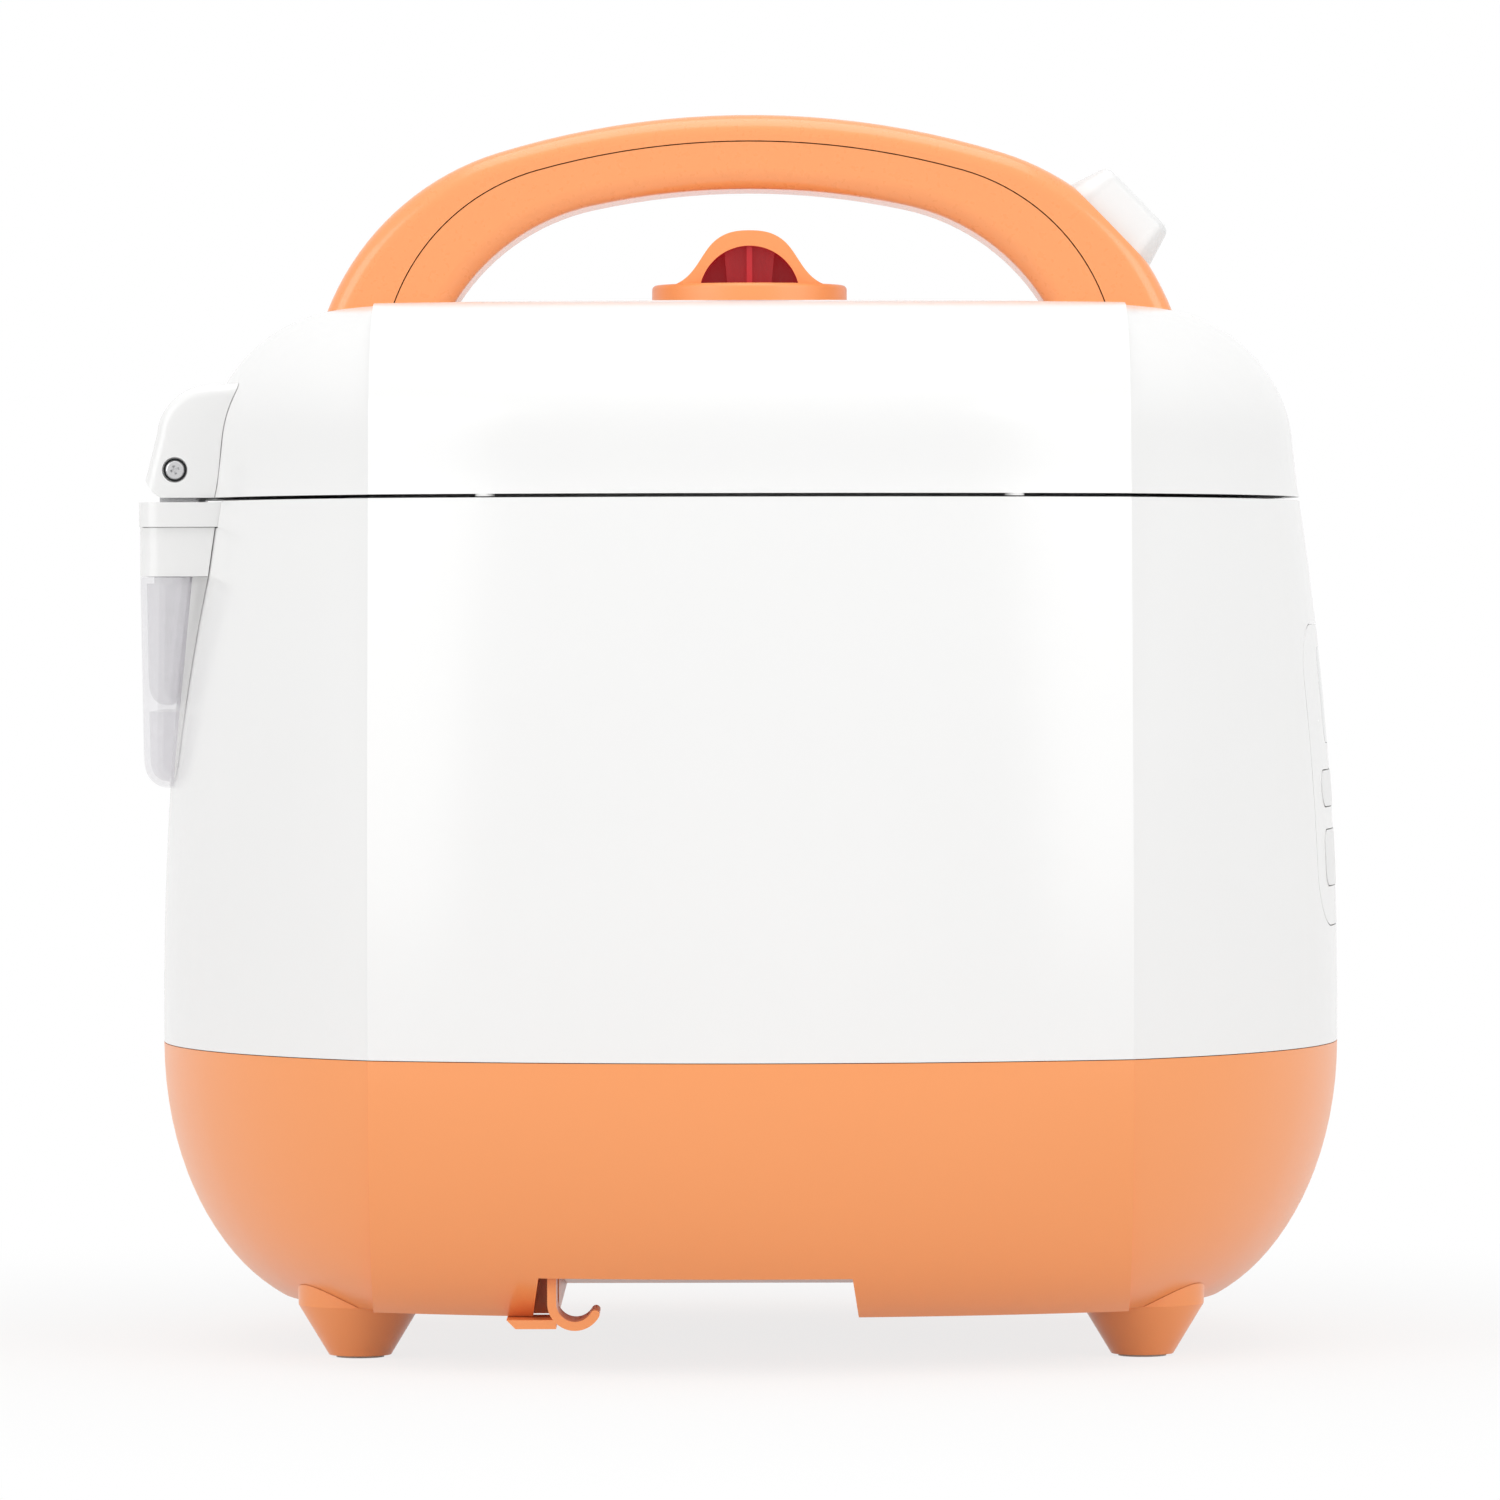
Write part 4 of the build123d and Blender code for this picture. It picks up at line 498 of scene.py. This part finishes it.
def model_screw(head, rise, length):
    """A pan head screw with a collar, which takes a dark painted shade, and a cross recess: seat at the
    origin, head up, shank down
    """
    collar = 0.3 * rise
    crown = 0.83 * head
    shank = 0.52 * head
    tip = 0.14 * length
    sharpness = 0.35
    bpy.ops.object.select_all(action="DESELECT")
    bpy.ops.mesh.primitive_cylinder_add(vertices=48, radius=head, depth=collar, location=(0, 0, collar / 2))
    screw = bpy.context.object
    bpy.ops.object.transform_apply(location=True, rotation=False, scale=False)
    choose_faces(screw, lambda middle, normal: normal.z > 0.9)
    bpy.ops.mesh.inset(thickness=head - crown)
    bpy.ops.mesh.extrude_region_move(TRANSFORM_OT_translate={"value": (0, 0, rise - collar)})
    choose_faces(screw, lambda middle, normal: normal.z < -0.9)
    bpy.ops.mesh.inset(thickness=head - shank)
    bpy.ops.mesh.extrude_region_move(TRANSFORM_OT_translate={"value": (0, 0, tip - length)})
    bpy.ops.mesh.extrude_region_move(TRANSFORM_OT_translate={"value": (0, 0, -tip)})
    bpy.ops.transform.resize(value=(sharpness, sharpness, 1), center_override=(0, 0, -length))
    choose_edges(screw, lambda point: point.z > 0.99 * rise)
    bpy.ops.mesh.bevel(offset=0.36 * rise, segments=5, affect="EDGES")
    bpy.ops.object.mode_set(mode="OBJECT")
    cutter = recess_cutter(crown, rise)
    for turn in range(2):
        cutter.rotation_euler = (0, 0, turn * math.pi / 2)
        bpy.context.view_layer.update()
        cut(screw, cutter)
    bpy.data.objects.remove(cutter)
    bpy.ops.object.select_all(action="DESELECT")
    screw.select_set(True)
    bpy.context.view_layer.objects.active = screw
    bpy.ops.object.shade_smooth_by_angle(angle=math.radians(32))
    # The collar's faces take the second finish: dark painted shade of the gap round the head
    for face in screw.data.polygons:
        face.material_index = int(-0.01 * rise < face.center.z < 1.01 * collar)
    return screw


def settle(piece, node, body, place):
    """Sets a new piece down in the place of its node"""
    piece.matrix_world = place
    bpy.ops.object.select_all(action="DESELECT")
    piece.select_set(True)
    bpy.context.view_layer.objects.active = piece
    bpy.ops.object.transform_apply(location=True, rotation=True, scale=False)
    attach(piece, body)
    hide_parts(node)


def set_screws(screw, node, body, places):
    """Copies a screw to each place, each copy with its own mesh, and removes the model"""
    screw.data.materials.append(brushed_steel(node + "_steel").material)
    # Second finish: near-black steel on each collar, painted shade of the gap round the head
    screw.data.materials.append(brushed_steel(node + "_collar", colours().collar, 0.42).material)
    for number, place in enumerate(places):
        piece = screw.copy()
        piece.data = screw.data.copy()
        piece.name = f"{node}_{number + 1}"
        bpy.context.scene.collection.objects.link(piece)
        settle(piece, node, body, place)
    bpy.data.objects.remove(screw)


def four_downward(low, high, head, rise):
    """Places of four screws, heads down, at the corners of a node's box"""
    down = Matrix.Rotation(math.pi, 4, "X")
    spots = [(x, y) for x in (low.x + head, high.x - head) for y in (low.y + head, high.y - head)]
    return [Matrix.Translation((x, y, low.z + rise)) @ down for x, y in spots]


def model_coil(outer, wire, length, turns):
    """A coil of round wire that stands on the origin"""
    bpy.ops.object.select_all(action="DESELECT")
    bpy.ops.mesh.primitive_circle_add(vertices=14, radius=wire, fill_type="NOTHING")
    spring = bpy.context.object
    bpy.ops.object.mode_set(mode="EDIT")
    bpy.ops.mesh.select_all(action="SELECT")
    bpy.ops.transform.rotate(value=math.pi / 2, orient_axis="X", center_override=(0, 0, 0))
    bpy.ops.transform.translate(value=(outer - wire, 0, wire))
    bpy.ops.object.mode_set(mode="OBJECT")
    winding = spring.modifiers.new("winding", "SCREW")
    winding.axis = "Z"
    winding.screw_offset = (length - 2 * wire) / turns
    winding.iterations = turns
    winding.steps = 36
    bpy.ops.object.modifier_apply(modifier=winding.name)
    bpy.ops.object.mode_set(mode="EDIT")
    bpy.ops.mesh.select_all(action="SELECT")
    bpy.ops.mesh.fill_holes(sides=0)
    bpy.ops.mesh.select_all(action="SELECT")
    bpy.ops.mesh.normals_make_consistent(inside=False)
    bpy.ops.object.mode_set(mode="OBJECT")
    bpy.ops.object.shade_smooth_by_angle(angle=math.radians(40))
    return spring


def set_spring(spring, node, body, place):
    """Puts a coil in the place of its node"""
    spring.name = node + "_coil"
    spring.data.materials.append(brushed_steel(node + "_steel").material)
    settle(spring, node, body, place)


class OBJECT_OT_cooker_casing(bpy.types.Operator):
    """White wall, lid, rim and hinge cover"""

    bl_idname = "object.cooker_casing"
    bl_label = "Casing"

    def execute(self, context):
        white = gloss_plastic("shell_white", colours().shell)
        dress(white, "body_shell", "lid_cover", "hinge_cover", "top_rim", "drip_collar")
        dress(silicone("bumper_rubber", colours().shell), "lid_bumpers")
        return {"FINISHED"}


class OBJECT_OT_cooker_base(bpy.types.Operator):
    """Orange base with its feet, pads, hook and gland"""

    bl_idname = "object.cooker_base"
    bl_label = "Base"

    def execute(self, context):
        orange = gloss_plastic("trim_orange", colours().trim, rough=0.3, drift=0.012)
        feet = [name for name in NODES if name.startswith("foot_") and name != "foot_pads"]
        dress(orange, "base_pan", "cord_hook", *feet)
        dress(silicone("pad_rubber", colours().seal), "foot_pads", "cord_gland")
        return {"FINISHED"}


class OBJECT_OT_cooker_handle(bpy.types.Operator):
    """Handle, its screws and the release button"""

    bl_idname = "object.cooker_handle"
    bl_label = "Handle"

    def execute(self, context):
        orange = gloss_plastic("handle_orange", colours().trim, rough=0.28, drift=0.012, coat=0.4)
        dress(orange, "handle_upper", "handle_lower")
        # The button is the shell's white made darker: painted shade, a shaded copy of the shell's finish
        dress(gloss_plastic("button_painted_shade_white", shade(colours().shell, 0.93), rough=0.18), "release_button")
        dress(brushed_steel("handle_screw_steel"), "handle_screws")
        return {"FINISHED"}


class OBJECT_OT_cooker_vent(bpy.types.Operator):
    """Vent cap with painted deep red shade and a painted glow inside its arch, seal, weight and tube"""

    bl_idname = "object.cooker_vent"
    bl_label = "Vent"

    def execute(self, context):
        # The cap's arch gets deep red painted shade and a faint painted glow
        cap = vent_plastic("vent_orange", colours().trim, colours().throat_shade, *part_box("steam_cap"))
        dress(cap, "steam_cap")
        dress(silicone("vent_seal", colours().seal), "cap_seal", "valve_grommet")
        dress(satin_plastic("vent_tube", colours().pale_grey), "valve_body")
        dress(brushed_steel("weight_steel"), "relief_weight")
        return {"FINISHED"}


class OBJECT_OT_cooker_hinge(bpy.types.Operator):
    """Hinge pin, brackets and springs"""

    bl_idname = "object.cooker_hinge"
    bl_label = "Hinge"

    def execute(self, context):
        dress(brushed_steel("hinge_steel"), "hinge_pin", "hinge_bracket_near", "hinge_bracket_far",
              "hinge_spring_near", "hinge_spring_far")
        return {"FINISHED"}


class OBJECT_OT_cooker_drip(bpy.types.Operator):
    """Clear drip cup"""

    bl_idname = "object.cooker_drip"
    bl_label = "Drip cup"

    def execute(self, context):
        cup_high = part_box("drip_cup")[1]
        # The shell's white is the colour of the cup's painted highlight
        dress(clear_plastic("cup_clear", colours().clear, colours().shell, cup_high), "drip_cup")
        return {"FINISHED"}


class OBJECT_OT_cooker_controls(bpy.types.Operator):
    """Front panel, display window, keys and board"""

    bl_idname = "object.cooker_controls"
    bl_label = "Controls"

    def execute(self, context):
        dress(gloss_plastic("panel_white", colours().shell, rough=0.26), "control_panel")
        dress(display_glass("display_pale"), "display_window")
        dress(satin_plastic("key_white", colours().keys), "start_key", "cancel_key", "menu_key", "timer_key")
        dress(circuit_board("board_green"), "control_board", "power_board")
        return {"FINISHED"}


class OBJECT_OT_cooker_lid_inside(bpy.types.Operator):
    """Lid liner, inner lid and seal"""

    bl_idname = "object.cooker_lid_inside"
    bl_label = "Inside of the lid"

    def execute(self, context):
        dress(satin_plastic("liner_grey", colours().pale_grey), "lid_liner")
        dress(turned_metal("plate_aluminium", shade(colours().aluminium, 1.2), 0.3, pot_middle(), 0.0012),
              "inner_lid")
        dress(silicone("gasket_silicone", colours().seal), "lid_gasket")
        return {"FINISHED"}


class OBJECT_OT_cooker_pot(bpy.types.Operator):
    """Inner pot, can, heater and sensor"""

    bl_idname = "object.cooker_pot"
    bl_label = "Pot and heater"

    def execute(self, context):
        dress(pot_coating("pot_coating", colours().coating), "inner_pot")
        dress(brushed_steel("can_steel"), "inner_can", "side_heater")
        dress(turned_metal("heater_aluminium", colours().aluminium, 0.4, pot_middle(), 0.002),
              "heating_plate", "temperature_sensor")
        dress(satin_plastic("fuse_ceramic", colours().ceramic), "thermal_fuse")
        return {"FINISHED"}


class OBJECT_OT_cooker_latch(bpy.types.Operator):
    """Latch hook, pin and keeper"""

    bl_idname = "object.cooker_latch"
    bl_label = "Latch"

    def execute(self, context):
        dress(satin_plastic("latch_plastic", colours().pale_grey), "latch_hook")
        dress(brushed_steel("latch_steel"), "latch_pin", "latch_keeper")
        return {"FINISHED"}


class OBJECT_OT_cooker_screws(bpy.types.Operator):
    """Cross recess screws of the hinge, the liner and the base"""

    bl_idname = "object.cooker_screws"
    bl_label = "Screws"

    def execute(self, context):
        self.hinge_screws()
        self.downward_screws("liner_screws", "lid", sizes().liner_screw, sizes().liner_rise)
        self.downward_screws("base_screws", "base", sizes().base_screw, sizes().base_rise)
        return {"FINISHED"}

    def hinge_screws(self):
        low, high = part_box("hinge_screws")
        head = (high.x - low.x) / 2
        rise = sizes().hinge_rise
        x = (low.x + high.x) / 2
        z = (low.z + high.z) / 2
        driven = Matrix.Rotation(sizes().hinge_turn, 4, "Z")
        near = Matrix.Translation((x, low.y + rise, z)) @ Matrix.Rotation(math.pi / 2, 4, "X") @ driven
        far = Matrix.Translation((x, high.y - rise, z)) @ Matrix.Rotation(-math.pi / 2, 4, "X") @ driven
        set_screws(model_screw(head, rise, sizes().hinge_shank), "hinge_screws", "lid", (near, far))

    def downward_screws(self, node, body, head, rise):
        low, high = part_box(node)
        screw = model_screw(head, rise, high.z - low.z - rise)
        set_screws(screw, node, body, four_downward(low, high, head, rise))


class OBJECT_OT_cooker_springs(bpy.types.Operator):
    """Springs of the sensor and the latch"""

    bl_idname = "object.cooker_springs"
    bl_label = "Springs"

    def execute(self, context):
        self.sensor_spring()
        self.latch_spring()
        return {"FINISHED"}

    def sensor_spring(self):
        low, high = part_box("sensor_spring")
        outer = (high.x - low.x) / 2
        length = high.z - low.z
        foot = Vector((low.x + outer, low.y + outer, low.z))
        spring = model_coil(outer, sizes().sensor_wire, length, sizes().spring_turns)
        set_spring(spring, "sensor_spring", "base", Matrix.Translation(foot))
        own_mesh(spring)

    def latch_spring(self):
        low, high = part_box("latch_spring")
        pivot = sum(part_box("latch_pin"), Vector()) / 2
        outer = (high.z - low.z) / 2
        length = high.x - low.x
        start = Vector((low.x, low.y + outer, low.z + outer))
        along = Matrix.Rotation(math.pi / 2, 4, "Y")
        spring = model_coil(outer, sizes().latch_wire, length, sizes().spring_turns)
        set_spring(spring, "latch_spring", "lid", Matrix.Translation(start) @ along)
        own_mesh(spring)


class OBJECT_OT_cooker_stage(bpy.types.Operator):
    """Pale floor, soft lamps, white surroundings and the camera"""

    bl_idname = "object.cooker_stage"
    bl_label = "Stage"

    def execute(self, context):
        self.add_floor()
        self.add_world(context)
        side = Vector(lights().side_place)
        mirrored = Vector((-side.x, side.y, side.z))
        for name, place in (("left_softbox", mirrored), ("right_softbox", side)):
            self.add_lamp(name, place, lights().side_width, lights().side_power)
        self.add_lamp("top_softbox", Vector(lights().top_place), lights().top_width, lights().top_power)
        self.add_camera(context)
        context.scene.view_settings.view_transform = "Standard"
        return {"FINISHED"}

    def seen(self, finish):
        """One where the camera, a reflection or a clear piece looks, and nought for other light"""
        path = finish.node("ShaderNodeLightPath")
        outputs = path.socket.node.outputs
        glossy = Wire(finish, outputs["Is Glossy Ray"])
        through = Wire(finish, outputs["Is Transmission Ray"])
        return finish.node("ShaderNodeMath", {"operation": "MINIMUM"}, {0: path + glossy + through, 1: 1.0})

    def add_floor(self):
        bpy.ops.object.select_all(action="DESELECT")
        bpy.ops.mesh.primitive_plane_add(size=sizes().floor_size)
        floor = bpy.context.object
        floor.name = "studio_floor"
        finish = Finish("floor_white")
        finish.set(Base_Color=lights().floor, Roughness=0.9)
        reach = finish.node("ShaderNodeVectorMath", {"operation": "LENGTH"}, {0: finish.place()}, 1)
        fade = finish.node("ShaderNodeMapRange", {"interpolation_type": "SMOOTHSTEP"}, {
            "Value": reach, "From Min": lights().shadow_near, "From Max": lights().shadow_far,
            "To Min": lights().shadow_share, "To Max": 1.0})
        glow = finish.node("ShaderNodeEmission", inputs={"Color": (1, 1, 1, 1), "Strength": 1.0})
        lit = Wire(finish, finish.shader.outputs[0])
        whole = finish.node("ShaderNodeMixShader", inputs={0: self.seen(finish) * fade, 1: lit, 2: glow})
        finish.feed(finish.tree.nodes["Material Output"].inputs["Surface"], whole)
        floor.data.materials.append(finish.material)

    def add_world(self, context):
        world = bpy.data.worlds.new("white_room")
        world.use_nodes = True
        context.scene.world = world
        room = Finish.__new__(Finish)
        room.tree = world.node_tree
        sky = room.tree.nodes["Background"]
        sky.inputs["Color"].default_value = (1, 1, 1, 1)
        room.feed(sky.inputs["Strength"], self.seen(room) * (1 - lights().room) + lights().room)

    def add_lamp(self, name, place, width, power):
        lamp = bpy.data.lights.new(name, "AREA")
        lamp.shape = "SQUARE"
        lamp.size = width
        lamp.energy = power
        stand = bpy.data.objects.new(name, lamp)
        stand.location = place
        aim = Vector((pot_middle(), 0, sizes().aim_height))
        stand.rotation_euler = (aim - place).to_track_quat("-Z", "Y").to_euler()
        bpy.context.scene.collection.objects.link(stand)

    def add_camera(self, context):
        lens = bpy.data.cameras.new("camera")
        lens.sensor_width = 36.0
        lens.lens = lens.sensor_width * sizes().eye_distance / sizes().picture_width
        lens.clip_end = 50.0
        camera = bpy.data.objects.new("camera", lens)
        camera.location = (pot_middle(), -sizes().eye_distance, sizes().eye_height)
        tilt = math.atan2(sizes().eye_height - sizes().aim_height, sizes().eye_distance)
        camera.rotation_euler = (math.pi / 2 - tilt, sizes().roll, 0)
        context.scene.collection.objects.link(camera)
        context.scene.camera = camera


STEPS = (
    OBJECT_OT_cooker_casing,
    OBJECT_OT_cooker_base,
    OBJECT_OT_cooker_handle,
    OBJECT_OT_cooker_vent,
    OBJECT_OT_cooker_hinge,
    OBJECT_OT_cooker_drip,
    OBJECT_OT_cooker_controls,
    OBJECT_OT_cooker_lid_inside,
    OBJECT_OT_cooker_pot,
    OBJECT_OT_cooker_latch,
    OBJECT_OT_cooker_screws,
    OBJECT_OT_cooker_springs,
    OBJECT_OT_cooker_stage,
)


class VIEW3D_PT_cooker(bpy.types.Panel):
    """Lists the cooker's steps, colours, sizes and lights"""

    bl_label = "Cooker"
    bl_space_type = "VIEW_3D"
    bl_region_type = "UI"
    bl_category = "Cooker"

    def draw(self, context):
        for step in STEPS:
            self.layout.operator(step.bl_idname)
        for group in (colours(), sizes(), lights()):
            for name in group.__annotations__:
                self.layout.prop(group, name)


CLASSES = (CookerColours, CookerSizes, CookerLights, *STEPS, VIEW3D_PT_cooker)


def register():
    for kind in CLASSES:
        bpy.utils.register_class(kind)
    bpy.types.Scene.cooker_colours = bpy.props.PointerProperty(type=CookerColours)
    bpy.types.Scene.cooker_sizes = bpy.props.PointerProperty(type=CookerSizes)
    bpy.types.Scene.cooker_lights = bpy.props.PointerProperty(type=CookerLights)


def unregister():
    del bpy.types.Scene.cooker_lights
    del bpy.types.Scene.cooker_sizes
    del bpy.types.Scene.cooker_colours
    for kind in reversed(CLASSES):
        bpy.utils.unregister_class(kind)


def main():
    register()
    for step in STEPS:
        group, name = step.bl_idname.split(".")
        getattr(getattr(bpy.ops, group), name)()


if __name__ == "__main__":
    main()
